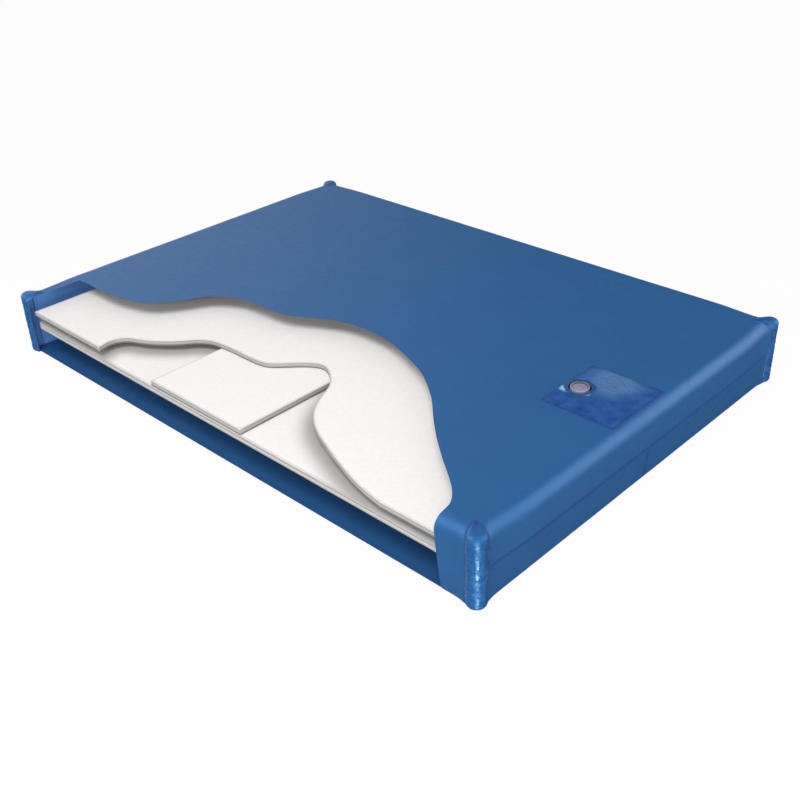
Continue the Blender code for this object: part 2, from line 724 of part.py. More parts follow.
def grip_cutter(cutters):
    bm = bmesh.new()
    height = CAP_HEIGHT - CAP_RECESS_DEPTH
    for step in range(GRIP_COUNT):
        turn = 2 * pi * (step + 1 / 2) / GRIP_COUNT
        made = bmesh.ops.create_cone(
            bm, cap_ends=True, segments=GRIP_SIDES, radius1=GRIP_RADIUS, radius2=GRIP_RADIUS,
            depth=height,
        )
        spot = Vector((CAP_RADIUS * cos(turn), CAP_RADIUS * sin(turn), 0))
        bmesh.ops.translate(bm, vec=spot, verts=made["verts"])
    item = add_mesh_object("grip flutes", to_mesh(bm, "grip flutes"), cutters)
    item.location = (VALVE_X, VALVE_Y, CAP_TOP - CAP_HEIGHT - CAP_RECESS_DEPTH + height / 2)
    return as_cutter(item)


def build():
    clear_scene()
    group = make_collection("waterbed")
    cutters = make_collection("cutters")
    blue = make_material("blue vinyl", BLUE_VINYL, 0.45)
    navy = make_material("navy vinyl", NAVY_VINYL, 0.50)
    glossy = make_material("glossy vinyl", GLOSSY_BLUE, 0.18)
    patch = make_material("patch vinyl", PATCH_BLUE, 0.25)
    fiber = make_material("fibre", FIBER_WHITE, 0.95)
    valve = make_material("valve grey", VALVE_GREY, 0.40)
    clear = make_material("stem grey", CLEAR_GREY, 0.35)
    rubber = make_material("rubber", RUBBER, 0.70)

    top_sheet(group, cutters, blue)
    floor_sheet("floor_sheet_near", -1, group, navy)
    floor_sheet("floor_sheet_far", 1, group, navy)
    floor_seam_tape(group, navy)
    bag = bag_cutter(cutters)
    for end_name, end in (("head", -1), ("foot", 1)):
        for side_name, side in (("near", -1), ("far", 1)):
            name = end_name + "_gusset_" + side_name
            corner_gusset(name, end, side, bag, group, cutters, glossy)
    fiber_insert(group, fiber)
    fiber_tabs(group, navy)
    valve_patch(group, cutters, patch)
    valve_flange(group, navy)
    valve_skirt(group, blue)
    valve_stem(group, clear)
    valve_plug(group, clear)
    cap_gasket(group, rubber)
    valve_cap(group, cutters, valve)


build()
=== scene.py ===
from math import atan2, cos, hypot, pi, radians, sin, sqrt

import bmesh
import bpy
from mathutils import Matrix, Vector, noise
from mathutils.geometry import delaunay_2d_cdt
from mathutils.kdtree import KDTree


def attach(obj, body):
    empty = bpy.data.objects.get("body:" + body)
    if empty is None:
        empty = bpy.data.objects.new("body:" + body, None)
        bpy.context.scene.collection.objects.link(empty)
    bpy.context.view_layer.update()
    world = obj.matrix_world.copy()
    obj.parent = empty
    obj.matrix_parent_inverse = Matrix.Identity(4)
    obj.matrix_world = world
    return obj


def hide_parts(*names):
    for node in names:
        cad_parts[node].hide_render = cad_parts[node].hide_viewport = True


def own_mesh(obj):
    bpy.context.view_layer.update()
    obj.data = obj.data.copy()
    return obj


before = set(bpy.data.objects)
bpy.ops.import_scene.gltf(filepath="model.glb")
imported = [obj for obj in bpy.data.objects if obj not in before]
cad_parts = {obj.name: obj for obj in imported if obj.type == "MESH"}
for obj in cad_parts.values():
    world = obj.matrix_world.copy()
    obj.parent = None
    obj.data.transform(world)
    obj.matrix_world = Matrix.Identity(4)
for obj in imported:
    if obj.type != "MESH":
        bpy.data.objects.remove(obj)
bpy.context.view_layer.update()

# the mattress in metres; foot end and valve at +X, cut-open side at -Y
bed = {
    "length": 2.134, "width": 1.524, "height": 0.2286,
    "cornerRadius": 0.042, "shoulder": 0.040, "floorEdge": 0.004,
    "drawIn": 0.003, "bulge": 0.010, "bulgeRun": 0.220, "flare": 0.005, "flareRun": 0.080,
    "vinyl": 0.0006, "step": 0.0009, "cell": 0.014, "ripple": 0.0005, "rippleNoise": (6, 9),
    "valve": (0.835, -0.015), "hole": 0.036, "dip": 0.0030, "dipReach": 0.085,
    "endSeam": 0.1115, "flapTop": 0.1235,
}
halfLength = bed["length"] / 2
halfWidth = bed["width"] / 2
bedHeight = bed["height"]
wallTop = bedHeight - bed["shoulder"]
tiny = 0.00001  # points nearer than this are one point
# the flat core inside the rounded corners and its count of cells each way
coreX = halfLength - bed["cornerRadius"]
coreY = halfWidth - bed["cornerRadius"]
alongX = round(2 * coreX / bed["cell"])
alongY = round(2 * coreY / bed["cell"])


# small helpers

def addObject(name, data):
    item = bpy.data.objects.new(name, data)
    bpy.context.scene.collection.objects.link(item)
    return item


def newMesh(name, verts, faces, material=None):
    mesh = bpy.data.meshes.new(name)
    mesh.from_pydata(verts, [], faces)
    mesh.validate()
    mesh.update()
    if material:
        mesh.materials.append(material)
    mesh.shade_smooth()
    return addObject(name, mesh)


def finalMesh(item):
    return bpy.data.meshes.new_from_object(item.evaluated_get(bpy.context.evaluated_depsgraph_get()))


def applyModifiers(item):
    old = item.data
    final = finalMesh(item)
    item.modifiers.clear()
    item.data = final
    bpy.data.meshes.remove(old)


def editMesh(item, edit):
    bm = bmesh.new()
    bm.from_mesh(item.data)
    edit(bm)
    bm.to_mesh(item.data)
    bm.free()


def smoothByAngle(item, angle):
    item.data.shade_smooth()
    item.data.set_sharp_from_angle(angle=radians(angle))


def writeShares(item, name, shares):
    # a number for each vertex, which a material reads by its name
    item.data.attributes.new(name, "FLOAT", "POINT").data.foreach_set("value", shares)


def handIn(item, node=None, body="mattress"):
    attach(item, body)
    if node:
        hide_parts(node)


def smoothStep(low, high, value):
    share = max(0.0, min(1.0, (value - low) / (high - low)))
    return share * share * (3 - 2 * share)


def bumps(x, y, z, plan, rise):
    # smooth noise in space; plan and rise say how fine it is across and upward
    return noise.noise(Vector((x * plan, y * plan, z * rise)))


def arc(cx, cy, radius, start, sweep, steps):
    turns = [start + sweep * step / steps for step in range(steps + 1)]
    return [(cx + radius * cos(turn), cy + radius * sin(turn)) for turn in turns]


def roundHole(radius, count):
    # the corners of a round hole about the valve's axis
    return arc(*bed["valve"], radius, 0, 2 * pi, count)[:-1]


def bandFaces(count, rows, closed=False):
    # quads between rows of equal count, each row closed on itself; closed joins the last row to the first
    quads = []
    for row in range(rows if closed else rows - 1):
        here = row * count
        there = (row + 1) % rows * count
        for index in range(count):
            after = (index + 1) % count
            quads.append((here + index, here + after, there + after, there + index))
    return quads


def gridFaces(across, rows, base=0):
    starts = [base + row * (across + 1) + column for row in range(rows) for column in range(across)]
    return [(a, a + 1, a + across + 2, a + across + 1) for a in starts]


def stackedRings(name, rings, material=None):
    # a closed skin over rings of equal count, capped at both ends
    count = len(rings[0])
    verts = [spot for ring in rings for spot in ring]
    caps = [tuple(range(count))[::-1], tuple(range(len(verts) - count, len(verts)))]
    return newMesh(name, verts, caps + bandFaces(count, len(rings)), material)


def turned(name, profile, material, steps=96, angle=35):
    # a closed profile of (radius, z) points, turned about the valve's axis
    x, y = bed["valve"]
    verts = []
    for index in range(steps):
        turn = 2 * pi * index / steps
        verts += [(x + radius * cos(turn), y + radius * sin(turn), z) for radius, z in profile]
    item = newMesh(name, verts, bandFaces(len(profile), steps, closed=True), material)

    def closeUp(bm):
        bmesh.ops.remove_doubles(bm, verts=bm.verts, dist=tiny)
        bmesh.ops.dissolve_degenerate(bm, edges=bm.edges, dist=tiny)
        bmesh.ops.recalc_face_normals(bm, faces=bm.faces)

    editMesh(item, closeUp)
    smoothByAngle(item, angle)
    return item


# shader groups and materials

def feed(tree, node, values):
    # each named input takes another node's output or a plain value
    for title, value in values.items():
        if hasattr(value, "is_output"):
            tree.links.new(value, node.inputs[title])
        else:
            node.inputs[title].default_value = value


def addNode(tree, kind, *values, **settings):
    node = tree.nodes.new("ShaderNode" + kind)
    for title, setting in settings.items():
        setattr(node, title, setting)
    feed(tree, node, dict(enumerate(values)))
    return node


def addMath(tree, kind, *values, clamp=False):
    return addNode(tree, "Math", *values, operation=kind, use_clamp=clamp).outputs[0]


def multiply(tree, first, second):
    return addMath(tree, "MULTIPLY", first, second)


def addVector(tree, kind, first, second):
    node = addNode(tree, "VectorMath", first, second, operation=kind)
    return node.outputs["Vector" if kind == "MULTIPLY" else "Value"]


def addRange(tree, value, low, high, newLow=0.0, newHigh=1.0, smooth=False):
    kind = "SMOOTHSTEP" if smooth else "LINEAR"
    node = addNode(tree, "MapRange", value, low, high, newLow, newHigh, interpolation_type=kind)
    return node.outputs["Result"]


def addSpread(tree, noisy, low=0.0, high=1.0):
    # noise lies mostly between 0.3 and 0.7
    return addRange(tree, noisy, 0.3, 0.7, low, high)


def addMix(tree, share, first, second):
    node = addNode(tree, "Mix", data_type="RGBA")
    feed(tree, node, {0: share, 6: first, 7: second})  # the colour mix's own sockets
    return node.outputs[2]


def addNoise(tree, vector, scale, detail, rough):
    node = addNode(tree, "TexNoise")
    feed(tree, node, {"Vector": vector, "Scale": scale, "Detail": detail, "Roughness": rough})
    return node.outputs["Fac"]


def addSpot(tree, kind="Object"):
    return addNode(tree, "TexCoord").outputs[kind]


def addAxes(tree, kind="Object"):
    return addNode(tree, "SeparateXYZ", addSpot(tree, kind)).outputs


def addShare(tree, name):
    return addNode(tree, "Attribute", attribute_name=name).outputs["Fac"]


def addBump(tree, shader, height, strength, distance):
    bump = addNode(tree, "Bump")
    feed(tree, bump, {"Strength": strength, "Distance": distance, "Height": height})
    feed(tree, shader, {"Normal": bump.outputs["Normal"]})


def makeGroup(name, inputs, outputs):
    group = bpy.data.node_groups.new(name, "ShaderNodeTree")
    for title, value in inputs.items():
        socket = group.interface.new_socket(title, in_out="INPUT", socket_type="NodeSocketFloat")
        socket.default_value = value
    for title in outputs:
        group.interface.new_socket(title, in_out="OUTPUT", socket_type="NodeSocketFloat")
    return group, group.nodes.new("NodeGroupInput").outputs, group.nodes.new("NodeGroupOutput")


def placeGroup(tree, group, values):
    node = addNode(tree, "Group", node_tree=group)
    feed(tree, node, values)
    return node.outputs


def makeVinylGrain():
    # pressed film: fine pebble, slow ripples, a faint mottle and the gathers of a corner
    group, start, end = makeGroup(
        "vinylGrain",
        {"Grain Scale": 900.0, "Ripple Scale": 14.0, "Ripple Share": 0.5, "Crease Share": 0.0,
         "Mottle Scale": 5.0},
        ("Height", "Mottle", "Smudge", "Gathers"),
    )
    spot = addSpot(group)
    grain = addNoise(group, spot, start["Grain Scale"], 2, 0.6)
    ripples = addNoise(group, spot, start["Ripple Scale"], 2, 0.4)
    creases = addNoise(group, addVector(group, "MULTIPLY", spot, (22.0, 22.0, 95.0)), 1.0, 3, 0.55)
    gathers = addNoise(group, addVector(group, "MULTIPLY", spot, (40.0, 40.0, 62.0)), 1.0, 2, 0.5)
    height = multiply(group, grain, 0.12)
    for layer, share in ((ripples, start["Ripple Share"]), (creases, start["Crease Share"])):
        height = addMath(group, "ADD", height, multiply(group, layer, share))
    feed(group, end, {
        "Height": height, "Mottle": addNoise(group, spot, start["Mottle Scale"], 4, 0.6),
        "Smudge": addNoise(group, spot, 45.0, 4, 0.65), "Gathers": gathers,
    })
    return group


seamMarks = {"endFrom": (1.052, 1.056), "levelEnd": (0.700, 0.722), "softEdge": 1.7}


def makeWeldLines():
    # 1 along the end walls' level seam and the upright middle seam under it, 0 away from them
    group, start, end = makeGroup("weldLines", {"Half Width": 0.0016}, ("Mask",))
    spot = addAxes(group)
    half = start["Half Width"]
    wide = multiply(group, half, seamMarks["softEdge"])
    level = addMath(group, "SUBTRACT", spot["Z"], bed["endSeam"])
    short = addRange(group, addMath(group, "ABSOLUTE", spot["Y"]), *seamMarks["levelEnd"], 1.0, 0.0)
    below = addMath(group, "LESS_THAN", spot["Z"], bed["endSeam"])
    lines = []
    for offset, kept in ((level, short), (spot["Y"], below)):
        near = addMath(group, "SUBTRACT", wide, addMath(group, "ABSOLUTE", offset))
        line = addMath(group, "DIVIDE", near, addMath(group, "SUBTRACT", wide, half), clamp=True)
        lines.append(multiply(group, line, kept))
    onEnd = addRange(group, addMath(group, "ABSOLUTE", spot["X"]), *seamMarks["endFrom"])
    feed(group, end, {"Mask": multiply(group, addMath(group, "MAXIMUM", *lines), onEnd)})
    return group


def makeFleece():
    # bonded fibre: crossing hairs and small tufts; layers show where it is cut
    group, start, end = makeGroup(
        "bondedFiber", {"Hair Scale": 700.0, "Tuft Scale": 90.0, "Layer Scale": 520.0},
        ("Height", "Shade", "Layers", "Cut"),
    )
    spot = addSpot(group)
    hairs = []
    for stretch in ((1.0, 0.18, 1.0), (0.18, 1.0, 1.0)):
        drawn = addVector(group, "MULTIPLY", spot, stretch)
        hairs.append(addNoise(group, drawn, start["Hair Scale"], 2, 0.7))
    hair = addMath(group, "MAXIMUM", *hairs)
    tuft = addNoise(group, spot, start["Tuft Scale"], 3, 0.6)

    def blend(hairShare, tuftShare):
        return addMath(group, "ADD", multiply(group, hair, hairShare),
                       multiply(group, tuft, tuftShare))

    flat = addVector(group, "MULTIPLY", spot, (0.02, 0.02, 1.0))
    upright = addMath(group, "ABSOLUTE", addAxes(group, "Normal")["Z"])
    feed(group, end, {
        "Height": blend(0.3, 0.7), "Shade": blend(0.4, 0.6),
        "Layers": addNoise(group, flat, start["Layer Scale"], 2, 0.5),
        "Cut": addRange(group, upright, 0.35, 0.80, 1.0, 0.0, smooth=True),
    })
    return group


vinylGrain = makeVinylGrain()
weldLines = makeWeldLines()
fleece = makeFleece()


def startMaterial(name):
    material = bpy.data.materials.new(name)
    material.use_nodes = True
    return material, material.node_tree, material.node_tree.nodes["Principled BSDF"]


# where each film changes its tone, and by how much
filmMarks = {
    "wallFrom": (0.003, 0.010), "middle": (0.0030, 0.0055, 0.95, 0.0), "facingDown": (-0.86, -0.98),
    "line": 0.92, "lineDepth": 0.8, "weld": 0.9, "gathers": (0.40, 0.54), "dullTop": (0.198, 0.214, 1.0, 0.2),
    "blotch": (0.10, 0.55), "glareCore": 0.3, "coatRoughness": 0.06,
}
seamBlue = (0.010, 0.046, 0.230, 1)


def vinylTone(tree, grain, look):
    tone = addMix(tree, addSpread(tree, grain["Mottle"]), look["dark"], look["light"])
    if "wall" in look:
        # painted shade and light: the floor is coloured deep navy for the shade it lies in, its folded-up
        # walls a paler painted blue
        spot = addAxes(tree)
        tone = addMix(tree, addRange(tree, spot["Z"], *filmMarks["wallFrom"]), tone, look["wall"])
        middle = addRange(tree, addMath(tree, "ABSOLUTE", spot["Y"]), *filmMarks["middle"], smooth=True)
        tone = addMix(tree, middle, tone, seamBlue)
    if "under" in look:
        # a neutral underside, which throws no blue on the fibre
        facing = addRange(tree, addAxes(tree, "Normal")["Z"], *filmMarks["facingDown"], smooth=True)
        tone = addMix(tree, facing, tone, look["under"])
    if look.get("weld"):
        welded = multiply(tree, addShare(tree, "weld"), filmMarks["weld"])
        tone = addMix(tree, welded, tone, look["seamColor"])
    if "glare" in look:
        # pale spots, painted where the slack film catches the light
        spot = addSpot(tree)
        blotch = addRange(tree, addNoise(tree, spot, 95.0, 3, 0.6), *filmMarks["blotch"], smooth=True)
        for place, reach, glow in look["glare"]:
            away = addVector(tree, "DISTANCE", spot, (*place, bedHeight))
            share = addRange(tree, away, reach * filmMarks["glareCore"], reach, glow, 0.0, smooth=True)
            tone = addMix(tree, multiply(tree, share, blotch), tone, look["glareColor"])
    return tone


def vinylMaterial(name, look):
    material, tree, shader = startMaterial(name)
    grain = placeGroup(tree, vinylGrain, {
        "Grain Scale": look["grain"], "Ripple Scale": look["ripple"], "Ripple Share": look["rippleShare"],
        "Crease Share": look.get("crease", 0.0), "Mottle Scale": look.get("mottle", 5.0),
    })
    tone = vinylTone(tree, grain, look)
    height = grain["Height"]
    if "seam" in look:
        line = placeGroup(tree, weldLines, {"Half Width": look["seam"]})["Mask"]
        tone = addMix(tree, multiply(tree, line, filmMarks["line"]), tone, look["seamColor"])
        groove = multiply(tree, line, filmMarks["lineDepth"])
        height = addMath(tree, "SUBTRACT", height, groove)
    if "gathered" in look:
        # gathered film shines in patches one above the other, and is dull between them and at its top
        patches = addRange(tree, grain["Gathers"], *filmMarks["gathers"], smooth=True)
        shiny = addRange(tree, addAxes(tree)["Z"], *filmMarks["dullTop"])
        roughness = addRange(tree, multiply(tree, patches, shiny), 0.0, 1.0, *look["gathered"])
    else:
        roughness = addSpread(tree, grain["Smudge"], *look["roughness"])
    feed(tree, shader, {
        "Base Color": tone, "Roughness": roughness, "Specular IOR Level": look["specular"],
        "Specular Tint": look.get("tint", (1, 1, 1, 1)),
    })
    if "coat" in look:
        feed(tree, shader, {"Coat Weight": look["coat"], "Coat Roughness": filmMarks["coatRoughness"]})
    addBump(tree, shader, height, look["bump"], look["bumpDepth"])
    return material


outerFilm = {
    "grain": 1100.0, "ripple": 9.0, "rippleShare": 0.6, "bump": 0.30, "bumpDepth": 0.0007,
    "specular": 0.5, "tint": (0.62, 0.80, 1, 1), "seam": 0.0042, "seamColor": seamBlue,
}
innerFilm = {"grain": 1100.0, "ripple": 11.0, "rippleShare": 0.5, "bump": 0.30, "bumpDepth": 0.0008}
vinylLooks = {
    "top": {
        **outerFilm, "dark": (0.0165, 0.0900, 0.243, 1), "light": (0.0185, 0.0960, 0.258, 1),
        "roughness": (0.45, 0.53),
    },
    # a little darker than the top film: painted shade on the lower walls and flaps
    "wall": {
        **outerFilm, "dark": (0.0145, 0.0825, 0.227, 1), "light": (0.0160, 0.0880, 0.241, 1),
        "roughness": (0.46, 0.54),
    },
    # painted light: the film's inner side is far paler than its outside, standing in for light inside the
    # shaded bag
    "inner": {
        **innerFilm, "dark": (0.130, 0.330, 0.760, 1), "light": (0.145, 0.360, 0.820, 1),
        "roughness": (0.48, 0.58), "specular": 0.4, "under": (0.125, 0.135, 0.160, 1),
    },
    # painted shade and light on the floor's inner side: deep navy on the floor, a paler blue up its folded
    # walls
    "floor": {
        **innerFilm, "dark": (0.0130, 0.068, 0.190, 1), "light": (0.0150, 0.075, 0.210, 1),
        "roughness": (0.46, 0.56), "specular": 0.35, "wall": (0.115, 0.300, 0.700, 1),
    },
    "gusset": {
        "dark": (0.016, 0.088, 0.238, 1), "light": (0.021, 0.108, 0.288, 1), "gathered": (0.52, 0.13),
        "grain": 500.0, "ripple": 60.0, "rippleShare": 0.5, "bump": 0.75, "bumpDepth": 0.0030,
        "crease": 1.2, "specular": 0.5, "tint": (0.45, 0.85, 1, 1), "weld": True, "seamColor": seamBlue,
    },
    "bead": {
        "dark": (0.011, 0.050, 0.172, 1), "light": (0.014, 0.060, 0.200, 1), "roughness": (0.34, 0.46),
        "grain": 900.0, "ripple": 80.0, "rippleShare": 0.6, "bump": 0.4, "bumpDepth": 0.0006,
        "specular": 0.35,
    },
    "patch": {
        "dark": (0.0105, 0.050, 0.225, 1), "light": (0.029, 0.108, 0.320, 1), "roughness": (0.26, 0.40),
        "grain": 800.0, "ripple": 26.0, "rippleShare": 1.2, "bump": 0.55, "bumpDepth": 0.0022,
        "specular": 0.35, "tint": (0.5, 0.75, 1, 1), "coat": 0.04, "mottle": 24.0, "weld": True,
        "seamColor": (0.007, 0.030, 0.125, 1), "glareColor": (0.330, 0.610, 0.820, 1),
        "glare": (((0.806, -0.044), 0.029, 1.0), ((0.873, -0.034), 0.015, 0.6),
                  ((0.900, 0.075), 0.125, 0.19)),  # each a place, a reach and a strength
    },
}
vinyl = {part: vinylMaterial(part + "Vinyl", look) for part, look in vinylLooks.items()}

fiberLook = {
    "pale": (0.868, 0.840, 0.830, 1), "shaded": (0.812, 0.786, 0.777, 1),
    # painted shade: the rim tone darkens the rounded edges, and the last tone is the top sheet's painted
    # shadow
    "rim": (0.560, 0.550, 0.545, 1), "rimShade": (0.55, 1.0, 0.0, 0.75), "paintedCoverShade": (0.350, 0.343, 0.337, 1),
    # place through the thickness and tone, painted shade on the cut edges: darkest at the bottom, a paler
    # core, darker again near the top
    "cut": ((0.0, 0.120), (0.22, 0.150), (0.42, 0.380), (0.74, 0.410), (0.86, 0.240), (1.0, 0.270)),
    "layers": 0.07, "warmth": (0.975, 0.955), "bump": (0.35, 0.0012),
    "pile": {"Hair Scale": 650.0, "Tuft Scale": 80.0, "Layer Scale": 420.0},
    "shader": {"Roughness": 0.95, "Specular IOR Level": 0.15, "Sheen Weight": 0.10, "Sheen Roughness": 0.5},
}


def fiberMaterial(look):
    material, tree, shader = startMaterial("polyesterFiber")
    pile = placeGroup(tree, fleece, look["pile"])
    face = addMix(tree, addRange(tree, pile["Shade"], 0.35, 0.65), look["shaded"], look["pale"])
    # painted shade: the face darkens toward its rounded rim
    rimShade = addRange(tree, addShare(tree, "rim"), *look["rimShade"], smooth=True)
    face = addMix(tree, rimShade, face, look["rim"])
    # painted shadow: the top sheet's shade on the ply below, put into its colour
    face = addMix(tree, addShare(tree, "paintedCoverShade"), face, look["paintedCoverShade"])
    uneven = addSpread(tree, pile["Layers"], -look["layers"], look["layers"])
    ramp = addNode(tree, "ValToRGB", addMath(tree, "ADD", addShare(tree, "rise"), uneven))
    stops = ramp.color_ramp.elements
    green, blue = look["warmth"]
    for index, (place, tone) in enumerate(look["cut"]):
        stop = stops[index] if index < 2 else stops.new(place)
        stop.position = place
        stop.color = (tone, tone * green, tone * blue, 1)
    # painted shade: the cut edges take the ramp's greys through the thickness
    tone = addMix(tree, pile["Cut"], face, ramp.outputs["Color"])
    feed(tree, shader, {"Base Color": tone, **look["shader"]})
    addBump(tree, shader, pile["Height"], *look["bump"])
    return material


# rings are (radius, half width, colour) about the valve's axis; the cap's rings are a painted highlight on
# its rim and a painted shade just inside it
plasticLooks = {
    "capPlastic": {
        "dark": (0.222, 0.215, 0.300, 1), "light": (0.255, 0.245, 0.335, 1), "roughness": (0.32, 0.45),
        "rings": ((0.0273, 0.0011, (0.33, 0.345, 0.42, 1)), (0.0243, 0.0012, (0.045, 0.042, 0.075, 1))),
    },
    "stemPlastic": {
        "dark": (0.27, 0.30, 0.38, 1), "light": (0.31, 0.34, 0.42, 1), "roughness": (0.30, 0.42),
    },
    "gasketRubber": {
        "dark": (0.026, 0.026, 0.030, 1), "light": (0.038, 0.038, 0.042, 1), "roughness": (0.6, 0.75),
        "specular": 0.3,
    },
    "skirtVinyl": {
        "dark": (0.016, 0.066, 0.180, 1), "light": (0.022, 0.082, 0.215, 1), "roughness": (0.34, 0.46),
        "specular": 0.4,
    },
}


def plasticMaterial(name, look):
    material, tree, shader = startMaterial(name)
    spot = addSpot(tree)
    tone = addMix(tree, addSpread(tree, addNoise(tree, spot, 60.0, 4, 0.6)), look["dark"], look["light"])
    # painted highlight and shade: rings of colour about the valve's axis
    for radius, half, color in look.get("rings", ()):
        plan = addVector(tree, "MULTIPLY", spot, (1, 1, 0))
        offset = addMath(tree, "SUBTRACT", addVector(tree, "DISTANCE", plan, (*bed["valve"], 0)), radius)
        away = addMath(tree, "ABSOLUTE", offset)
        tone = addMix(tree, addRange(tree, away, half, half + 0.0006, 1.0, 0.0, smooth=True), tone, color)
    fine = addNoise(tree, spot, 1500.0, 2, 0.6)
    feed(tree, shader, {
        "Base Color": tone, "Roughness": addSpread(tree, fine, *look["roughness"]),
        "Specular IOR Level": look.get("specular", 0.5),
    })
    addBump(tree, shader, fine, 0.2, 0.0002)
    return material


fiber = fiberMaterial(fiberLook)
plastic = {name: plasticMaterial(name, look) for name, look in plasticLooks.items()}
print("materials made")


# the bag's surface

def wallLean(z, share=1.0):
    rise = max(0.0, min(1.0, z / wallTop))
    return -bed["drawIn"] + (bed["drawIn"] + bed["bulge"] * share) * sin(rise * pi / 2)


def runShare(x, y, run):
    # how far along its run from the round corner a spot on the core rectangle's edge lies
    along = max(halfLength - abs(x), halfWidth - abs(y)) - bed["cornerRadius"]
    return max(0.0, min(1.0, along / (run - bed["cornerRadius"])))


def wallShift(x, y, z):
    # the gussets hold the corners back: the bulge fades there and the walls flare out to the seams
    flared = 1 - runShare(x, y, bed["flareRun"])
    return wallLean(z, smoothStep(0, 1, runShare(x, y, bed["bulgeRun"]))) + bed["flare"] * flared * flared


def fromValve(x, y):
    return hypot(x - bed["valve"][0], y - bed["valve"][1])


def valveDip(x, y):
    # the top sinks a little round the valve
    return -bed["dip"] * (1 - smoothStep(bed["hole"], bed["dipReach"], fromValve(x, y)))


def ripple(x, y, z):
    return bed["ripple"] * bumps(x, y, z, *bed["rippleNoise"])


def bagProfile(inset, lowest, highest, steps=12):
    # (outward distance from the core rectangle, z) from the floor's rim, up the wall, over the shoulder
    radius = bed["cornerRadius"] - inset
    edge = bed["floorEdge"] - inset
    shoulder = bed["shoulder"] - inset
    top = highest - shoulder
    turns = (0, pi / 6, pi / 3)
    rim = [(radius - edge + edge * sin(turn), lowest + edge * (1 - cos(turn))) for turn in turns]
    wall = [(radius, lowest + edge + (top - lowest - edge) * step / steps) for step in range(steps + 1)]
    return rim + wall + arc(radius - shoulder, top, shoulder, 0, pi / 2, steps)[1:]


def coreRing(cornerSteps=10):
    # (x, y, normal x, normal y) round the core rectangle, counter-clockwise
    ring = []
    sides = ((-1, -1, 1, 0, alongX), (1, -1, 0, 1, alongY), (1, 1, -1, 0, alongX), (-1, 1, 0, -1, alongY))
    for cornerX, cornerY, goX, goY, count in sides:
        for step in range(count + 1):
            x = cornerX * coreX + goX * 2 * coreX * step / count
            y = cornerY * coreY + goY * 2 * coreY * step / count
            ring.append((x, y, goY, -goX))
        corner = arc(0, 0, 1, atan2(-goX, goY), pi / 2, cornerSteps)[1:-1]
        ring += [(x, y, nx, ny) for nx, ny in corner]
    return ring


def coreIndex(x, y):
    column = round((x + coreX) / (2 * coreX) * alongX)
    return round((y + coreY) / (2 * coreY) * alongY) * (alongX + 1) + column


def bagMesh(name, material, inset, lowest, highest, between=None, top=False, floor=False):
    # the bag's skin, drawn in by inset; between keeps the wall from one height to another
    ring = coreRing()
    count = len(ring)
    profile = bagProfile(inset, lowest, highest)
    if between:
        first, last = between
        profile = [p for p in profile if first <= p[1] <= last]
        if first > lowest:
            profile.insert(0, (bed["cornerRadius"] - inset, first))
        if last < highest:
            profile.append((bed["cornerRadius"] - inset, last))
    verts = []
    for away, z in profile:
        for x, y, nx, ny in ring:
            out = away + wallShift(x, y, z) + ripple(x, y, z)
            verts.append((x + nx * out, y + ny * out, z))
    faces = bandFaces(count, len(profile))
    for wanted, row, z in ((top, len(profile) - 1, highest), (floor, 0, lowest)):
        if not wanted:
            continue
        up = row > 0
        base = len(verts)
        for rowY in range(alongY + 1):
            for column in range(alongX + 1):
                x = -coreX + 2 * coreX * column / alongX
                y = -coreY + 2 * coreY * rowY / alongY
                verts.append((x, y, z + ripple(x, y, z) if up else z))
        flat = gridFaces(alongX, alongY, base)
        # the band between the flat core and the ring
        inner = [base + coreIndex(x, y) for x, y, nx, ny in ring]
        for index in range(count):
            after = (index + 1) % count
            quad = (row * count + index, row * count + after, inner[after], inner[index])
            flat.append(quad[:3] if inner[after] == inner[index] else quad)
        faces += [face if up else face[::-1] for face in flat]
    return newMesh(name, verts, faces, material)


def dropFaces(item, unwanted):
    def drop(bm):
        gone = [face for face in bm.faces if unwanted(face.calc_center_median())]
        bmesh.ops.delete(bm, geom=gone, context="FACES")

    editMesh(item, drop)


def sliceAt(item, axis, place):
    # new edges where a plane across the axis (0 is X, 1 is Y, 2 is Z) meets the skin
    normal = Vector([float(index == axis) for index in range(3)])

    def split(bm):
        geom = bm.verts[:] + bm.edges[:] + bm.faces[:]
        bmesh.ops.bisect_plane(bm, geom=geom, plane_co=normal * place, plane_no=normal)

    editMesh(item, split)


def thicken(item, innerSide=None, offset=-1):
    # the film's thickness goes inward; its inner side and cut edges can have a material of their own
    wall = item.modifiers.new("film", "SOLIDIFY")
    wall.thickness = bed["vinyl"]
    wall.offset = offset
    if innerSide:
        item.data.materials.append(innerSide)
        wall.material_offset = 1
        wall.material_offset_rim = 1


def finishFilm(item, node, angle, innerSide=None, offset=-1):
    thicken(item, innerSide, offset)
    applyModifiers(item)
    smoothByAngle(item, angle)
    handIn(item, node)
    return item


def softLine(points, resolution):
    # a line rounded through its points, as a Catmull-Rom curve
    line = []
    last = len(points) - 1
    for index in range(last):
        near = [points[max(0, min(last, index + shift))] for shift in (-1, 0, 1, 2)]
        for step in range(resolution):
            t = step / resolution
            line.append(tuple(
                0.5 * (2 * b + (c - a) * t + (2 * a - 5 * b + 4 * c - d) * t * t
                       + (3 * b - a - 3 * c + d) * t * t * t)
                for a, b, c, d in zip(*near)
            ))
    return line + [points[-1]]


def prism(name, outline, low, high):
    item = stackedRings(name, [[(x, y, z) for x, y in outline] for z in (low, high)])
    editMesh(item, lambda bm: bmesh.ops.recalc_face_normals(bm, faces=bm.faces))
    return item


def cutAway(item, cutters):
    for cutter in cutters:
        cut = item.modifiers.new("cut", "BOOLEAN")
        cut.operation = "DIFFERENCE"
        cut.solver = "EXACT"
        cut.object = cutter
    applyModifiers(item)


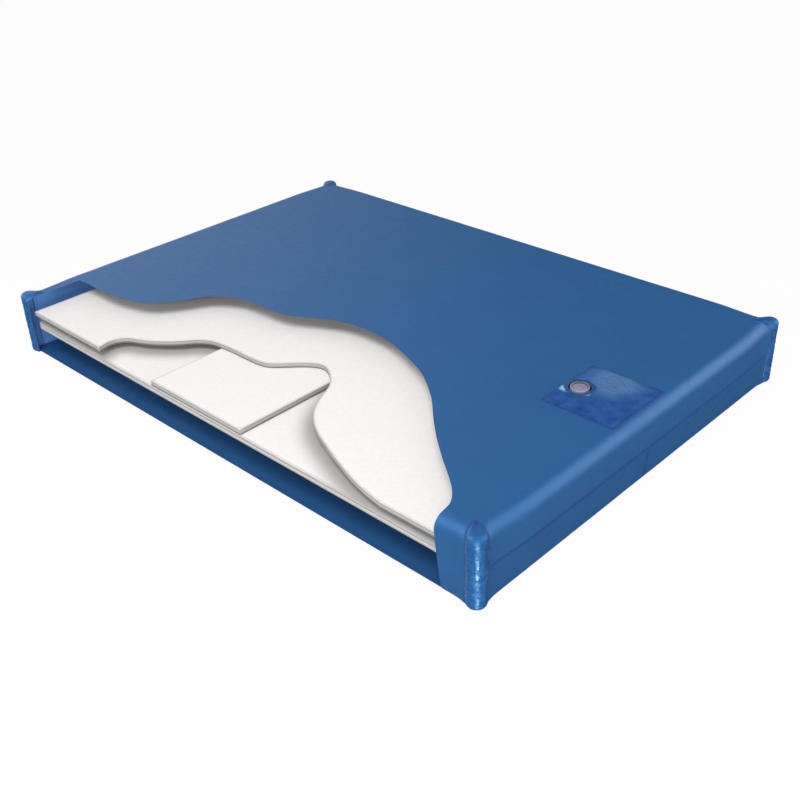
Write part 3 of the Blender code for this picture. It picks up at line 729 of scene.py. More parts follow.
# what the display piece leaves away: the near wall between two posts, and the top up to a wavy line
topCut = {
    "head": -1.000, "headY": -0.565, "postWall": -1.025, "postFloor": -1.035,
    "stub": 0.929, "stubFloor": 0.945, "seamEnd": 0.722, "foot": 0.006, "start": (-0.93, -0.562),
    "past": 0.03, "over": 0.02, "skim": 0.0003, "depth": 0.09,
    "wave": [(-0.809, -0.562), (-0.722, -0.545), (-0.664, -0.526), (-0.626, -0.499), (-0.588, -0.450),
             (-0.557, -0.401), (-0.539, -0.366), (-0.509, -0.331), (-0.446, -0.292), (-0.368, -0.274),
             (-0.280, -0.272), (-0.214, -0.266), (-0.171, -0.249), (-0.098, -0.211), (-0.037, -0.182),
             (0.034, -0.165), (0.109, -0.163), (0.189, -0.170), (0.253, -0.187), (0.343, -0.221),
             (0.410, -0.251), (0.461, -0.283), (0.525, -0.332), (0.564, -0.367), (0.622, -0.426),
             (0.688, -0.488), (0.729, -0.523), (0.782, -0.566), (0.802, -0.581), (0.849, -0.617),
             (0.884, -0.647), (0.907, -0.673), (0.923, -0.700), (0.929, -0.730)],
}


def topCutters():
    outside = -halfWidth - topCut["past"]
    over = topCut["over"]
    outline = [(topCut["postWall"], outside), (topCut["postWall"], -halfWidth),
               (topCut["head"], bed["shoulder"] - halfWidth), (topCut["head"], topCut["headY"])]
    outline += softLine([topCut["start"]] + topCut["wave"], 10) + [(topCut["stub"], outside)]
    top = prism("topCutter", outline, wallTop - topCut["skim"], bedHeight + over)
    opening = [(topCut["postWall"], wallTop), (topCut["postFloor"], -over), (topCut["stubFloor"], -over),
               (topCut["stub"], wallTop)]
    side = prism("sideCutter", opening, 0.0, topCut["depth"])
    standing = Matrix.Rotation(pi / 2, 4, "X")
    side.matrix_world = Matrix.Translation((0, bed["cornerRadius"] - halfWidth, 0)) @ standing
    hole = prism("holeCutter", roundHole(bed["hole"], 96), bedHeight - over, bedHeight + over)
    bpy.context.view_layer.update()
    return top, side, hole


def buildTopSheet():
    item = bagMesh("topVinyl", vinyl["top"], 0, 0, bedHeight, (topCut["foot"], bedHeight), top=True)
    sliceAt(item, 2, bed["endSeam"])
    for side in (-1, 1):
        sliceAt(item, 1, side * topCut["seamEnd"])
    dropFaces(item, lambda c: c.z < bed["endSeam"] and abs(c.y) < topCut["seamEnd"])
    thicken(item, vinyl["inner"])
    cutters = topCutters()
    cutAway(item, cutters)
    for cutter in cutters:
        bpy.data.objects.remove(cutter)
    for vert in item.data.vertices:
        if vert.co.z > bedHeight - 0.01:
            vert.co.z += valveDip(vert.co.x, vert.co.y)
    smoothByAngle(item, 50)
    handIn(item, "top_sheet")
    return item


topVinyl = buildTopSheet()
print("top vinyl made")


# the floor's two halves and the tape over their seam
floorCut = {"flapEnd": 0.734, "flapFrom": 0.016, "nearEdge": -0.7555, "middleGap": 0.00015, "tapeHalf": 0.013}


def buildFloor(name, side, node):
    item = bagMesh(name, vinyl["wall"], bed["step"], 0, bedHeight, (0, bed["flapTop"]), floor=True)
    low, flapEnd, gap = floorCut["flapFrom"], floorCut["flapEnd"], floorCut["middleGap"]
    for axis, place in ((2, low), (1, side * flapEnd), (1, side * gap)):
        sliceAt(item, axis, place)
    dropFaces(item, lambda c: c.z > low and abs(c.y) > flapEnd)
    dropFaces(item, lambda c: side * c.y < gap)
    if side < 0:
        near, post, stub = floorCut["nearEdge"], topCut["postFloor"], topCut["stubFloor"]
        for axis, place in ((1, near), (0, post), (0, stub)):
            sliceAt(item, axis, place)
        dropFaces(item, lambda c: c.y < near and post < c.x < stub)
    return finishFilm(item, node, 50, vinyl["floor"])


def buildSeamTape():
    lift = bed["step"]
    kept = (lift, bed["flapTop"])
    item = bagMesh("floorSeamTape", vinyl["floor"], 2 * lift, lift, bedHeight, kept, floor=True)
    for side in (-1, 1):
        sliceAt(item, 1, side * floorCut["tapeHalf"])
    dropFaces(item, lambda c: abs(c.y) > floorCut["tapeHalf"])
    return finishFilm(item, "floor_seam_tape", 50)


floorNear = buildFloor("floorVinylNear", -1, "floor_sheet_near")
floorFar = buildFloor("floorVinylFar", 1, "floor_sheet_far")
seamTape = buildSeamTape()
print("floor vinyl made")


# corner gussets

gusset = {
    "radius": 0.0286, "length": 0.090, "reach": 0.006, "topRound": 0.016, "footRound": 0.012,
    "crest": 0.2301, "wall": 0.0012, "pucker": 0.0014, "beadRadius": 0.0023, "weld": (0.0014, 0.0046),
    "creases": (22, 95), "fineCreases": (60, 230), "creaseShares": (0.45, 0.9, 0.35), "fade": 0.02,
    "clear": 0.0003, "crown": 0.0004, "below": 0.012,
}
gussetMiddle = gusset["reach"] - gusset["radius"]


def gussetOutline(inset, noseSteps=40, tailSteps=16):
    # a round nose and a tail that narrows to a point, drawn in by inset
    radius = gusset["radius"] - inset
    tail = gusset["length"] - gusset["radius"] - inset
    shares = [step / tailSteps for step in range(1, tailSteps)]
    points = arc(gussetMiddle, 0, radius, -pi / 2, pi, noseSteps)
    points += [(gussetMiddle - tail * share, radius * (1 - share * share)) for share in shares]
    points.append((gussetMiddle - tail, 0))
    points += [(gussetMiddle - tail * share, radius * (share * share - 1)) for share in shares[::-1]]
    return points


def gussetDraw(z, inset=0.0):
    # how far the outline is drawn in at a height by the rounding at the foot and the top
    foot = gusset["footRound"] - inset
    tip = gusset["topRound"] - inset
    for radius, past in ((foot, inset + foot - z), (tip, z - (gusset["crest"] - inset - tip))):
        if past > 0:
            return radius - sqrt(max(0.0, radius * radius - past * past))
    return 0.0


def gussetHeights(inset=0.0, steps=60, roundSteps=8):
    foot = gusset["footRound"] - inset
    tip = gusset["topRound"] - inset
    high = gusset["crest"] - inset - tip
    turns = [pi / 2 * step / roundSteps for step in range(roundSteps + 1)]
    heights = [inset + foot * (1 - cos(turn)) for turn in turns]
    low = heights[-1]
    heights += [low + (high - low) * step / steps for step in range(1, steps + 1)]
    return heights + [high + tip * sin(turn) for turn in turns[1:]]


def toCorner(x, y, end, side):
    # from the gusset's own plan to the corner's place in the bed
    dx = end / sqrt(2)
    dy = side / sqrt(2)
    return end * halfLength + x * dx - y * dy, side * halfWidth + x * dy + y * dx


def outsideBag(x, y, z):
    # how far a spot lies outside the bag's surface
    nearX = max(-coreX, min(coreX, x))
    nearY = max(-coreY, min(coreY, y))
    radius = bed["cornerRadius"]
    over = min(bed["shoulder"], z - wallTop)
    if over > 0:
        radius -= bed["shoulder"] - sqrt(bed["shoulder"] ** 2 - over ** 2)
    return hypot(x - nearX, y - nearY) - radius - wallShift(nearX, nearY, z)


def weldLine(end, side):
    # where the gusset meets the bag: up one side, over the point, down the other
    sides = {1: [], -1: []}
    for z in gussetHeights():
        if z > bedHeight - gusset["clear"]:
            break
        outline = gussetOutline(gussetDraw(z), tailSteps=40)
        for hand, line in sides.items():
            before = None
            for px, py in sorted((p for p in outline if p[1] * hand >= 0), key=lambda p: -p[0]):
                x, y = toCorner(px, py, end, side)
                gap = outsideBag(x, y, z)
                if before and before[2] > 0 >= gap:
                    share = before[2] / (before[2] - gap)
                    line.append((before[0] + (x - before[0]) * share, before[1] + (y - before[1]) * share, z))
                    break
                before = (x, y, gap)
    level = bedHeight + gusset["crown"]
    outline = sorted(gussetOutline(gussetDraw(level), tailSteps=40), key=lambda p: p[1])
    over = [toCorner(px, py, end, side) for px, py in outline]
    crown = [(x, y, level) for x, y in over if outsideBag(x, y, bedHeight - gusset["crown"] / 2) < 0]
    return sides[-1] + crown + sides[1][::-1]


def puckered(px, py, z, end, side):
    # the film is gathered round the post: level creases that deepen toward the nose
    away = Vector((px - gussetMiddle, py))
    x, y = toCorner(px, py, end, side)
    if px < gussetMiddle or away.length == 0:
        return x, y
    away.normalize()
    ends = smoothStep(0.0, gusset["fade"], z) * smoothStep(0.0, gusset["fade"], gusset["crest"] - z)
    even, coarse, fine = gusset["creaseShares"]
    depth = even + coarse * bumps(x, y, z, *gusset["creases"]) + fine * bumps(x, y, z, *gusset["fineCreases"])
    depth = max(0.0, min(1.0, depth))
    push = -gusset["pucker"] * ends * depth * max(0.0, away.x)
    return toCorner(px + away.x * push, py + away.y * push, end, side)


def buildGusset(name, end, side, node, bag):
    rings = [[(*puckered(px, py, z, end, side), z) for px, py in gussetOutline(gussetDraw(z))]
             for z in gussetHeights()]
    item = stackedRings(name, rings, vinyl["gusset"])
    inset = gusset["wall"] + gusset["pucker"]
    rings = []
    for z in gussetHeights(inset, 12, 6):
        outline = gussetOutline(inset + gussetDraw(z, inset), 24, 8)
        rings.append([(*toCorner(px, py, end, side), z) for px, py in outline])
    core = stackedRings("gussetCore", rings)
    cutAway(item, [core, bag])
    bpy.data.objects.remove(core)
    item.data.materials.clear()
    item.data.materials.append(vinyl["gusset"])
    outside = [outsideBag(*vert.co) for vert in item.data.vertices]
    writeShares(item, "weld", [1 - smoothStep(*gusset["weld"], gap) for gap in outside])
    smoothByAngle(item, 45)
    handIn(item, node)


def buildBead(name, path, radius):
    # a round weld bead along a path
    curve = bpy.data.curves.new(name, "CURVE")
    curve.dimensions = "3D"
    curve.bevel_depth = radius
    curve.bevel_resolution = 1
    curve.use_fill_caps = True
    spline = curve.splines.new("POLY")
    spline.points.add(len(path) - 1)
    for knot, spot in zip(spline.points, path):
        knot.co = (*spot, 1)
    loose = addObject(name, curve)
    bpy.context.view_layer.update()
    mesh = finalMesh(loose)
    bpy.data.objects.remove(loose)
    mesh.materials.clear()
    mesh.materials.append(vinyl["bead"])
    mesh.shade_smooth()
    handIn(addObject(name, mesh))


clear = gusset["clear"]
bagForm = bagMesh("bagForm", None, -clear, -gusset["below"], bedHeight + clear, top=True, floor=True)
for endName, end in (("head", -1), ("foot", 1)):
    for sideName, side in (("near", -1), ("far", 1)):
        place = sideName.capitalize()
        buildGusset(endName + "Gusset" + place, end, side, endName + "_gusset_" + sideName, bagForm)
        buildBead(endName + "Weld" + place, weldLine(end, side), gusset["beadRadius"])
bpy.data.objects.remove(bagForm)
print("gussets made")


# fibre insert

insert = {
    "x": (-1.015, 1.029), "y": (-0.755, 0.732), "corner": 0.025, "cell": 0.014, "padX": (-0.305, 0.145),
    "low": 0.1030, "ply": 0.0115, "slit": 0.0012, "pad": 0.0210, "top": 0.0200, "gap": 0.0003,
    "plyRound": 0.0045, "padRound": 0.0040, "wave": 0.0004, "waveNoise": (9, 60), "rough": 0.0005,
    "roughNoise": (45, 90), "keepOff": 0.45, "shade": 0.92, "shadeReach": 0.085, "shadeFade": 1.5,
    "cut": [(-0.595, -0.756), (-0.604, -0.724), (-0.606, -0.704), (-0.600, -0.680), (-0.578, -0.652),
            (-0.537, -0.633), (-0.498, -0.611), (-0.454, -0.579), (-0.417, -0.543), (-0.384, -0.505),
            (-0.345, -0.481), (-0.303, -0.472), (-0.239, -0.468), (-0.159, -0.468), (-0.110, -0.465),
            (-0.077, -0.456), (-0.045, -0.432), (-0.004, -0.392), (0.030, -0.365), (0.057, -0.351),
            (0.084, -0.350), (0.114, -0.363), (0.143, -0.384), (0.168, -0.407), (0.187, -0.434),
            (0.203, -0.467), (0.222, -0.506), (0.248, -0.547), (0.280, -0.582), (0.322, -0.614),
            (0.371, -0.641), (0.420, -0.662), (0.462, -0.680), (0.512, -0.699), (0.550, -0.713),
            (0.602, -0.730), (0.649, -0.742), (0.690, -0.750), (0.728, -0.756)],
}


def roundedOutline(x0, x1, y0, y1, radius, steps=6):
    corners = ((x1 - radius, y0 + radius, -pi / 2), (x1 - radius, y1 - radius, 0),
               (x0 + radius, y1 - radius, pi / 2), (x0 + radius, y0 + radius, pi))
    return [spot for cx, cy, start in corners for spot in arc(cx, cy, radius, start, pi / 2, steps)]


def evenLine(points, cell):
    # the closed outline again, with points at most a cell apart
    line = []
    for (x, y), (nextX, nextY) in zip(points, points[1:] + points[:1]):
        count = max(1, int(hypot(nextX - x, nextY - y) / cell + 0.999))
        shares = [step / count for step in range(count)]
        line += [(x + (nextX - x) * share, y + (nextY - y) * share) for share in shares]
    return line


def outwardNormals(line):
    normals = []
    for before, after in zip(line[-1:] + line[:-1], line[1:] + line[:1]):
        run = Vector((after[0] - before[0], after[1] - before[1]))
        run = run.normalized() if run.length > 0 else Vector((1, 0))
        normals.append((run.y, -run.x))
    return normals


def planTree(line):
    tree = KDTree(len(line))
    for index, (x, y) in enumerate(line):
        tree.insert((x, y, 0), index)
    tree.balance()
    return tree


def clearOf(points, line, away):
    # grid points that keep off the outline, so that no sliver stands there
    tree = planTree(line)
    return [p for p in points if tree.find((p.x, p.y, 0))[2] > away]


def placesBetween(low, high, cell):
    places = [low + cell]
    while places[-1] + cell < high - cell / 2:
        places.append(places[-1] + cell)
    return places


def ringLoop(count, start=0):
    return [(start + index, start + (index + 1) % count) for index in range(count)]


def slabFace(verts, line, row, z, cell, up):
    # fills the ring that begins at row with an even grid of slightly uneven points, and returns its faces
    count = len(line)
    xs, ys = zip(*line)
    border = [Vector(vert[:2]) for vert in verts[row:row + count]]
    grid = [Vector((x, y)) for x in placesBetween(min(xs), max(xs), cell)
            for y in placesBetween(min(ys), max(ys), cell)]
    inner = clearOf(grid, line, cell * insert["keepOff"])
    filled = delaunay_2d_cdt(border + inner, ringLoop(count), [list(range(count))], 1, tiny)
    flat, _, tris, sources, _, _ = filled
    index = []
    for spot, source in zip(flat, sources):
        known = [s for s in source if s < count]
        if known:
            index.append(row + known[0])
        else:
            sunk = insert["wave"] * (0.5 + 0.5 * bumps(spot.x, spot.y, z, *insert["waveNoise"]))
            index.append(len(verts))
            verts.append((spot.x, spot.y, z - sunk if up else z + sunk))
    faces = [tuple(index[i] for i in tri) for tri in tris]
    return faces if up else [face[::-1] for face in faces]


def softSlab(name, outline, low, thickness, edgeRound, cell):
    # a felt slab: rounded edge all round, slightly uneven faces; the outline runs counter-clockwise
    line = evenLine(outline, cell)
    radius = min(edgeRound, thickness / 2 - 0.0001)
    turns = [pi / 2 * step / 4 for step in range(5)]
    rings = [(radius * (1 - sin(turn)), low + radius * (1 - cos(turn))) for turn in turns]
    rings += [(radius * (1 - cos(turn)), low + thickness - radius * (1 - sin(turn))) for turn in turns]
    normals = outwardNormals(line)
    verts = []
    for drawIn, z in rings:
        for (x, y), (nx, ny) in zip(line, normals):
            inward = drawIn + max(0, insert["rough"] * bumps(x, y, z, *insert["roughNoise"]))
            verts.append((x - nx * inward, y - ny * inward, z))
    edgeCount = len(verts)
    faces = bandFaces(len(line), len(rings))
    faces += slabFace(verts, line, 0, low, cell, False)
    faces += slabFace(verts, line, edgeCount - len(line), low + thickness, cell, True)
    item = newMesh(name, verts, faces, fiber)
    # how high through the slab, and 1 round the cut edge but 0 on the face inside it
    writeShares(item, "rise", [(vert.co.z - low) / thickness for vert in item.data.vertices])
    writeShares(item, "rim", [float(index < edgeCount) for index in range(len(verts))])
    return item


def inOutline(spot, line):
    inside = False
    for (ax, ay), (bx, by) in zip(line, line[1:] + line[:1]):
        if (ay > spot.y) != (by > spot.y) and spot.x < ax + (spot.y - ay) / (by - ay) * (bx - ax):
            inside = not inside
    return inside


def paintedCoverShadeShare(spots, line):
    # painted shadow: full under the cover, fading over the reach beyond its edge
    tree = planTree(evenLine(line, 0.01))
    shares = []
    for spot in spots:
        away = tree.find((spot.x, spot.y, 0))[2]
        fade = (1 - smoothStep(0.0, insert["shadeReach"], away)) ** insert["shadeFade"]
        shares.append(insert["shade"] * (1.0 if inOutline(spot, line) else fade))
    return shares


def buildFiber():
    x0, x1 = insert["x"]
    y0, y1 = insert["y"]
    padX0, padX1 = insert["padX"]
    whole = roundedOutline(x0, x1, y0, y1, insert["corner"])
    pad = [(padX0, y0), (padX1, y0), (padX1, y1), (padX0, y1)]
    cover = [(x0, y0)] + softLine(insert["cut"], 6) + whole[:21]
    ply = insert["ply"]
    middle = insert["low"] + ply + insert["slit"]
    padLow = middle + ply + insert["gap"]
    topLow = padLow + insert["pad"] + insert["gap"]
    slabs = (
        ("lowerFiberPly", "lower_fiber_ply", whole, insert["low"], ply, insert["plyRound"], 2),
        ("upperFiberPly", "upper_fiber_ply", whole, middle, ply, insert["plyRound"], 1),
        ("lumbarPad", "lumbar_pad", pad, padLow, insert["pad"], insert["padRound"], 1),
        ("topFiberSheet", "top_fiber_sheet", cover, topLow, insert["top"], insert["padRound"], 1),
    )
    for name, node, outline, low, thickness, edgeRound, coarse in slabs:
        slab = softSlab(name, outline, low, thickness, edgeRound, insert["cell"] * coarse)
        if name == "upperFiberPly":
            # the shade that the top sheet casts on it
            writeShares(slab, "paintedCoverShade", paintedCoverShadeShare([vert.co.xy for vert in slab.data.vertices], cover))
        handIn(slab, node)


buildFiber()
print("fibre made")


# valve, patch and tabs

patch = {
    "x": (0.7885, 1.0405), "y": (-0.148, 0.118), "corner": 0.006, "hole": 0.0355, "holeSteps": 72,
    "cell": 0.006, "clear": 0.0028, "lift": 0.0015, "wrinkle": 0.0014, "edgeFade": (0.004, 0.03),
    "holeFade": (0.036, 0.055), "rays": (3.2, 12), "slack": (26, 3), "slackShare": 0.6,
    "weld": (0.0005, 0.006), "beadLift": 0.0011, "beadRadius": 0.0014,
}


def topHeight(x, y):
    # the top vinyl's height, down over the foot shoulder
    radius = bed["shoulder"]
    past = abs(x) - (halfLength - radius) - wallShift(x, y, bedHeight)
    fall = radius - sqrt(radius * radius - past * past) if past > 0 else 0
    return bedHeight - fall + valveDip(x, y) + ripple(x, y, bedHeight)


def fromPatchEdge(x, y):
    return min(x - patch["x"][0], patch["x"][1] - x, y - patch["y"][0], patch["y"][1] - y)


def patchHeight(x, y):
    # slack film: low wrinkles that run toward the valve and die out at the welded edge
    turn = atan2(y - bed["valve"][1], x - bed["valve"][0])
    away = fromValve(x, y)
    wrinkle = bumps(cos(turn), sin(turn), away, *patch["rays"])
    wrinkle += patch["slackShare"] * bumps(x, y, 1, *patch["slack"])
    fade = smoothStep(*patch["edgeFade"], fromPatchEdge(x, y)) * smoothStep(*patch["holeFade"], away)
    return topHeight(x, y) + patch["lift"] + patch["wrinkle"] * max(0.0, wrinkle) * fade


def buildPatch():
    x0, x1 = patch["x"]
    y0, y1 = patch["y"]
    cell = patch["cell"]
    outer = evenLine(roundedOutline(x0, x1, y0, y1, patch["corner"], 3), cell)
    inner = roundHole(patch["hole"], patch["holeSteps"])
    grid = [Vector((x0 + cell * i, y0 + cell * j)) for i in range(1, round((x1 - x0) / cell))
            for j in range(1, round((y1 - y0) / cell))]
    grid = [p for p in clearOf(grid, outer + inner, patch["clear"]) if fromValve(*p) > patch["hole"]]
    border = [Vector(p) for p in outer + inner]
    loops = ringLoop(len(outer)) + ringLoop(len(inner), len(outer))
    flat, _, tris, _, _, _ = delaunay_2d_cdt(border + grid, loops, [], 0, tiny)
    middles = [sum((flat[i] for i in tri), Vector((0, 0))) / 3 for tri in tris]
    faces = [tuple(tri) for tri, middle in zip(tris, middles) if fromValve(*middle) > patch["hole"] - 0.0002]
    item = newMesh("valvePatch", [(*spot, patchHeight(*spot)) for spot in flat], faces, vinyl["patch"])
    # 1 along the welded border, 0 inside it
    edges = [fromPatchEdge(*vert.co.xy) for vert in item.data.vertices]
    writeShares(item, "weld", [1 - smoothStep(*patch["weld"], edge) for edge in edges])
    border = [(x, y, topHeight(x, y) + patch["beadLift"]) for x, y in outer]
    buildBead("patchWeld", border + border[:1], patch["beadRadius"])
    return finishFilm(item, "valve_patch", 40)


valve = {
    "cap": 0.0288, "capTop": 0.2303, "capFoot": 0.2153, "rim": 0.0036, "recess": 0.0030, "seat": 0.2253,
    "knob": (0.006, 0.0004), "groove": (0.019, 0.021, 0.0005), "flutes": 24, "fluteDepth": 0.0007,
    "neck": 0.0232, "bore": 0.0185, "neckTop": 0.2217, "base": 0.0325, "baseZ": (0.2017, 0.2033),
    "threads": 4, "threadFoot": 0.2072, "threadStep": 0.0034, "ridge": 0.0007,
    # turned profiles of radius and height
    "plug": [(0, 0.2250), (0.0046, 0.2250), (0.0050, 0.2246), (0.0050, 0.2232), (0.0218, 0.2232),
             (0.0222, 0.2228), (0.0222, 0.2221), (0.0218, 0.2217), (0.0182, 0.2217), (0.0176, 0.2149),
             (0.0156, 0.2149), (0.0162, 0.2217), (0, 0.2217)],
    "gasket": [(0.0239, 0.2247), (0.0236, 0.2250), (0.0123, 0.2250), (0.0120, 0.2247), (0.0120, 0.2238),
               (0.0123, 0.2235), (0.0236, 0.2235), (0.0239, 0.2238)],
    "flange": [(0.0500, 0.2276), (0.0500, 0.2267), (0.0498, 0.2265), (0.0362, 0.2265), (0.0360, 0.2267),
               (0.0360, 0.2275), (0.0362, 0.2277), (0.0498, 0.2277)],
    # the soft skirt: a thin pocket with a slack fold half way down its wall
    "skirt": [(0.0448, 0.2262), (0.0448, 0.2254), (0.0368, 0.2254), (0.0364, 0.2180), (0.0372, 0.2140),
              (0.0364, 0.2100), (0.0358, 0.2006), (0.0236, 0.2006), (0.0236, 0.2014), (0.0350, 0.2014),
              (0.0356, 0.2100), (0.0364, 0.2140), (0.0356, 0.2180), (0.0360, 0.2262)],
}


def capProfile():
    top = valve["capTop"]
    foot = valve["capFoot"]
    outer = valve["cap"]
    inner = outer - valve["rim"]
    sunk = top - valve["recess"]
    knob, rise = valve["knob"]
    start, stop, depth = valve["groove"]
    small = 0.0005
    edge = 0.0009
    profile = [(0, sunk + rise), (knob, sunk + rise), (knob + 0.0008, sunk), (start, sunk),
               (start + 0.0006, sunk - depth), (stop - 0.0006, sunk - depth), (stop, sunk)]
    profile += arc(inner - small, sunk + small, small, -pi / 2, pi / 2, 3)
    profile += arc(inner + edge, top - edge, edge, pi, -pi / 2, 5)
    profile += arc(outer - edge, top - edge, edge, pi / 2, -pi / 2, 5)
    return profile + [(outer, foot + 0.0075), (outer, foot + small), (outer - small, foot), (0.0243, foot),
                      (0.0242, valve["seat"]), (0, valve["seat"])]


def stemProfile():
    neck, bore, top, base = valve["neck"], valve["bore"], valve["neckTop"], valve["base"]
    low, high = valve["baseZ"]
    chamfer = 0.0003
    profile = [(neck, top - chamfer), (neck - chamfer, top), (bore + chamfer, top), (bore, top - chamfer),
               (bore, low), (base, low), (base, high), (neck + 0.0008, high), (neck, high + 0.0008)]
    for step in range(valve["threads"]):
        z = valve["threadFoot"] + valve["threadStep"] * step
        crest = neck + valve["ridge"]
        profile += [(neck, z), (crest, z + 0.0007), (crest, z + 0.0011), (neck, z + 0.0018)]
    return profile


def pressFlutes(item):
    # shallow grip flutes pressed into the cap's outer side
    cx, cy = bed["valve"]
    for vert in item.data.vertices:
        if fromValve(*vert.co.xy) > valve["cap"] - 0.0003 and vert.co.z < valve["capTop"] - 0.0010:
            turn = atan2(vert.co.y - cy, vert.co.x - cx)
            press = valve["fluteDepth"] * max(0.0, cos(turn * valve["flutes"])) ** 2
            vert.co.x -= press * cos(turn)
            vert.co.y -= press * sin(turn)


def buildValve():
    pieces = (
        ("valveCap", capProfile(), "capPlastic", 288, 35, "cap_plastic", "valve_cap", "cap"),
        ("valveStem", stemProfile(), "stemPlastic", 120, 35, "stem_plastic", "valve_stem", "stem"),
        ("valvePlug", valve["plug"], "stemPlastic", 96, 35, "stem_plastic", "valve_plug", "plug"),
        ("capGasket", valve["gasket"], "gasketRubber", 96, 35, "gasket_rubber", "cap_gasket", "gasket"),
        ("valveFlange", valve["flange"], "skirtVinyl", 96, 35, "navy_vinyl", "valve_flange", "mattress"),
        ("valveSkirt", valve["skirt"], "skirtVinyl", 96, 60, "blue_vinyl", "valve_skirt", "mattress"),
    )
    for name, profile, material, steps, angle, slot, node, body in pieces:
        item = turned(name, profile, plastic[material], steps, angle)
        if name == "valveCap":
            pressFlutes(item)
        handIn(item, node, body)
        if name == "valveSkirt":
            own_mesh(item)


tab = {
    "leaf": 0.11, "half": 0.06, "foot": 0.0854, "slit": 0.1151, "bend": 0.004, "off": 0.0003, "cells": 12,
    "endPlace": 0.381, "sidePlace": 0.5335,
}


def buildTab(name, outward, sideways, wallAt, node):
    # an angle of film: its leg is welded to the wall, its leaf lies in the slit between the plies
    mid, foot, bend, cells = tab["slit"], tab["foot"], tab["bend"], tab["cells"]
    heights = [foot + (mid - bend - foot) * step / 7 for step in range(8)]
    path = [(wallAt(z) - tab["off"], z) for z in heights]
    inner = path[-1][0] - bend
    path += arc(inner, mid - bend, bend, 0, pi / 2, 6)[1:]
    path += [(inner - (tab["leaf"] - bend) * step / 8, mid) for step in range(1, 9)]
    verts = []
    for away, z in path:
        for step in range(cells + 1):
            across = -tab["half"] + 2 * tab["half"] * step / cells
            x = outward[0] * away + sideways[0] + abs(outward[1]) * across
            verts.append((x, outward[1] * away + sideways[1] + abs(outward[0]) * across, z))
    item = newMesh(name, verts, gridFaces(cells, len(path) - 1), vinyl["wall"])
    return finishFilm(item, node, 40, offset=0)


def endWall(z):
    return halfLength + wallLean(z) - 2 * bed["step"]


def sideWall(z):
    return halfWidth + wallLean(z) - bed["step"]


def buildTabs():
    tabs = []
    for endName, end in (("foot", 1), ("head", -1)):
        for sideName, side in (("Near", -1), ("Far", 1)):
            node = endName + "_fiber_tab_" + sideName.lower()
            name = endName + "FiberTab" + sideName
            tabs.append(buildTab(name, (end, 0), (0, side * tab["endPlace"]), endWall, node))
    for endName, end in (("Head", -1), ("Foot", 1)):
        node = "side_fiber_tab_" + endName.lower()
        tabs.append(buildTab("sideFiberTab" + endName, (0, 1), (end * tab["sidePlace"], 0), sideWall, node))
    return tabs


valvePatch = buildPatch()
buildValve()
fiberTabs = buildTabs()
print("valve, patch and tabs made")


# camera, light and ground

view = {
    "spot": (2.34906, -2.31537, 1.83532), "yaw": 134.509, "pitch": 31.0973, "roll": -2.0368, "lens": 47.846,
}


def placeCamera():
    data = bpy.data.cameras.new("camera")
    data.lens = view["lens"]
    data.clip_start = 0.01
    camera = addObject("camera", data)
    matrix = Matrix.Translation(view["spot"])
    for turn, axis in ((view["yaw"] - 90, "Z"), (90 - view["pitch"], "X"), (view["roll"], "Z")):
        matrix = matrix @ Matrix.Rotation(radians(turn), 4, axis)
    camera.matrix_world = matrix
    bpy.context.scene.camera = camera


# soft lamps by direction from the bed (azimuth, elevation in degrees) and by the light they add on a face
# turned to them; reflections come from the world's own panels, so that they can be placed apart
lamps = {
    "near": {"azimuth": -62, "elevation": 56, "away": 9.0, "size": (5.4, 3.6), "level": 0.68},
    "low": {"azimuth": -60, "elevation": 23, "away": 9.0, "size": (4.8, 1.6), "level": 0.32},
    "foot": {"azimuth": 0, "elevation": 8, "away": 7.0, "size": (4.2, 1.4), "level": 0.16},
}
lampAim = Vector((0, 0, 0.15))


def placeLamps():
    for name, lamp in lamps.items():
        turn = radians(lamp["azimuth"])
        lift = radians(lamp["elevation"])
        toward = Vector((cos(turn) * cos(lift), sin(turn) * cos(lift), sin(lift)))
        data = bpy.data.lights.new(name, "AREA")
        data.shape = "RECTANGLE"
        data.size, data.size_y = lamp["size"]
        data.energy = lamp["level"] * pi * pi * lamp["away"] ** 2
        item = addObject(name, data)
        item.location = toward * lamp["away"] + lampAim
        item.rotation_euler = (-toward).to_track_quat("-Z", "Y").to_euler()
        item.visible_glossy = False


# ambient light, the white ground, and the panels and upright strips that only reflections see: toward, inner
# and outer reach, glow
ground = {
    "ambient": 0.40, "albedo": 0.82, "glow": 0.94, "dim": 0.03, "size": 40, "level": -0.0015,
    "panels": (
        ((-0.897, 0.278, 0.340), 9, 35, 1.28),
        ((0.535, 0.700, 0.470), 14, 38, 4.1),
        ((-0.580, -0.540, 0.610), 13, 35, 4.8),
    ),
    "strips": (((0.707, -0.707), 0.08, 0.20, 24.0), ((-1.0, 0.0), 0.06, 0.14, 1.0)),
    "stripTop": (0.05, 0.20), "stripFoot": (-0.80, -0.66),
}


def addPanel(tree, way, toward, inner, outer, glow):
    # a round soft panel: full within the inner angle, gone at the outer one
    facing = addVector(tree, "DOT_PRODUCT", way, Vector(toward).normalized())
    return addRange(tree, facing, cos(radians(outer)), cos(radians(inner)), 0.0, glow, smooth=True)


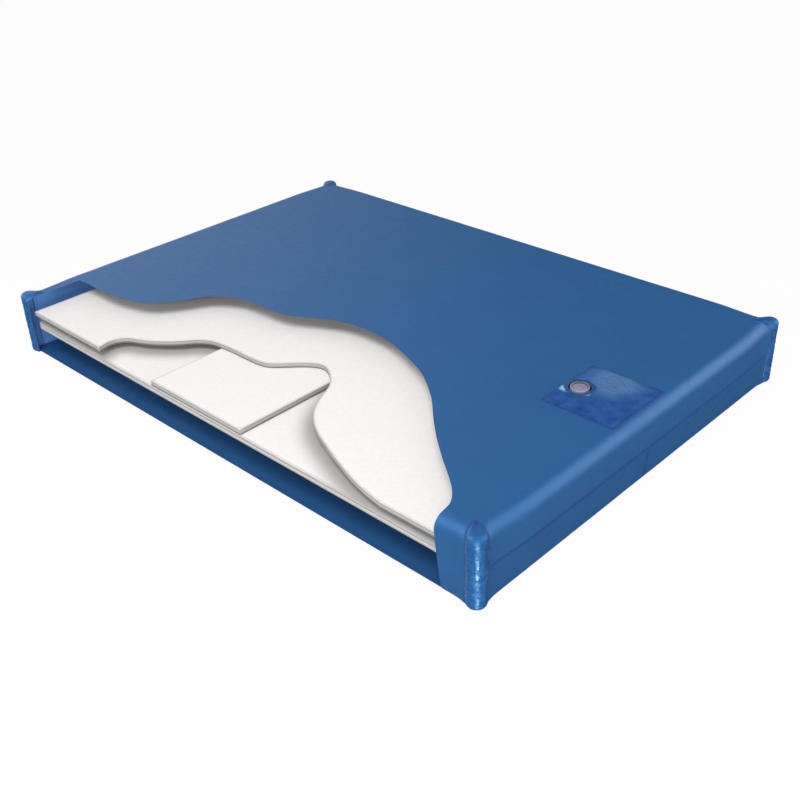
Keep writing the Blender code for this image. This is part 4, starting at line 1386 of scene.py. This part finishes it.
def addStrip(tree, way, toward, inner, outer, glow):
    # an upright band of light about the horizon: full within the inner half width, gone at the outer one
    x, y = toward
    axes = ((-y, x, 0), (x, y, 0), (0, 0, 1))
    aside, along, rise = [addVector(tree, "DOT_PRODUCT", way, axis) for axis in axes]
    band = addRange(tree, addMath(tree, "ABSOLUTE", aside), inner, outer, glow, 0.0, smooth=True)
    for share in (addMath(tree, "GREATER_THAN", along, 0.0),
                  addRange(tree, rise, *ground["stripTop"], 1.0, 0.0, smooth=True),
                  addRange(tree, rise, *ground["stripFoot"], smooth=True)):
        band = multiply(tree, band, share)
    return band


def placeWorld():
    world = bpy.data.worlds.new("studio")
    bpy.context.scene.world = world
    world.use_nodes = True
    world.cycles.sampling_method = "NONE"
    tree = world.node_tree
    path = addNode(tree, "LightPath").outputs
    way = addSpot(tree, "Generated")
    panels = ground["dim"]
    for shape, build in (("panels", addPanel), ("strips", addStrip)):
        for toward, inner, outer, glow in ground[shape]:
            panels = addMath(tree, "ADD", build(tree, way, toward, inner, outer, glow), panels)
    # white to the camera, soft daylight to diffuse light, the panels to reflections
    ambient = ground["ambient"]
    mirrored = multiply(tree, path["Is Glossy Ray"], addMath(tree, "SUBTRACT", panels, ambient))
    seen = multiply(tree, path["Is Camera Ray"], 1.0 - ambient)
    strength = addMath(tree, "ADD", addMath(tree, "ADD", mirrored, ambient), seen)
    feed(tree, tree.nodes["Background"], {"Color": (1, 1, 1, 1), "Strength": strength})


def placeGround():
    size, level, albedo = ground["size"], ground["level"], ground["albedo"]
    corners = [(-size, -size, level), (size, -size, level), (size, size, level), (-size, size, level)]
    material, tree, shader = startMaterial("studioFloor")
    material.cycles.emission_sampling = "NONE"
    white = (albedo, albedo, albedo, 1)
    feed(tree, shader, {"Base Color": white, "Roughness": 0.9, "Specular IOR Level": 0.0})
    path = addNode(tree, "LightPath").outputs
    glow = multiply(tree, path["Is Camera Ray"], ground["glow"])
    seen = addNode(tree, "MixShader", glow, shader.outputs[0], addNode(tree, "Emission").outputs[0])
    # reflections pass the ground, so that they find the panels below the horizon too
    clear = addNode(tree, "BsdfTransparent").outputs[0]
    passed = addNode(tree, "MixShader", path["Is Glossy Ray"], seen.outputs[0], clear)
    feed(tree, tree.nodes["Material Output"], {"Surface": passed.outputs[0]})
    newMesh("studioFloor", corners, [(0, 1, 2, 3)], material)


placeCamera()
placeLamps()
placeWorld()
placeGround()
bpy.context.scene.view_settings.view_transform = "Standard"
print("camera, lamps and ground placed")

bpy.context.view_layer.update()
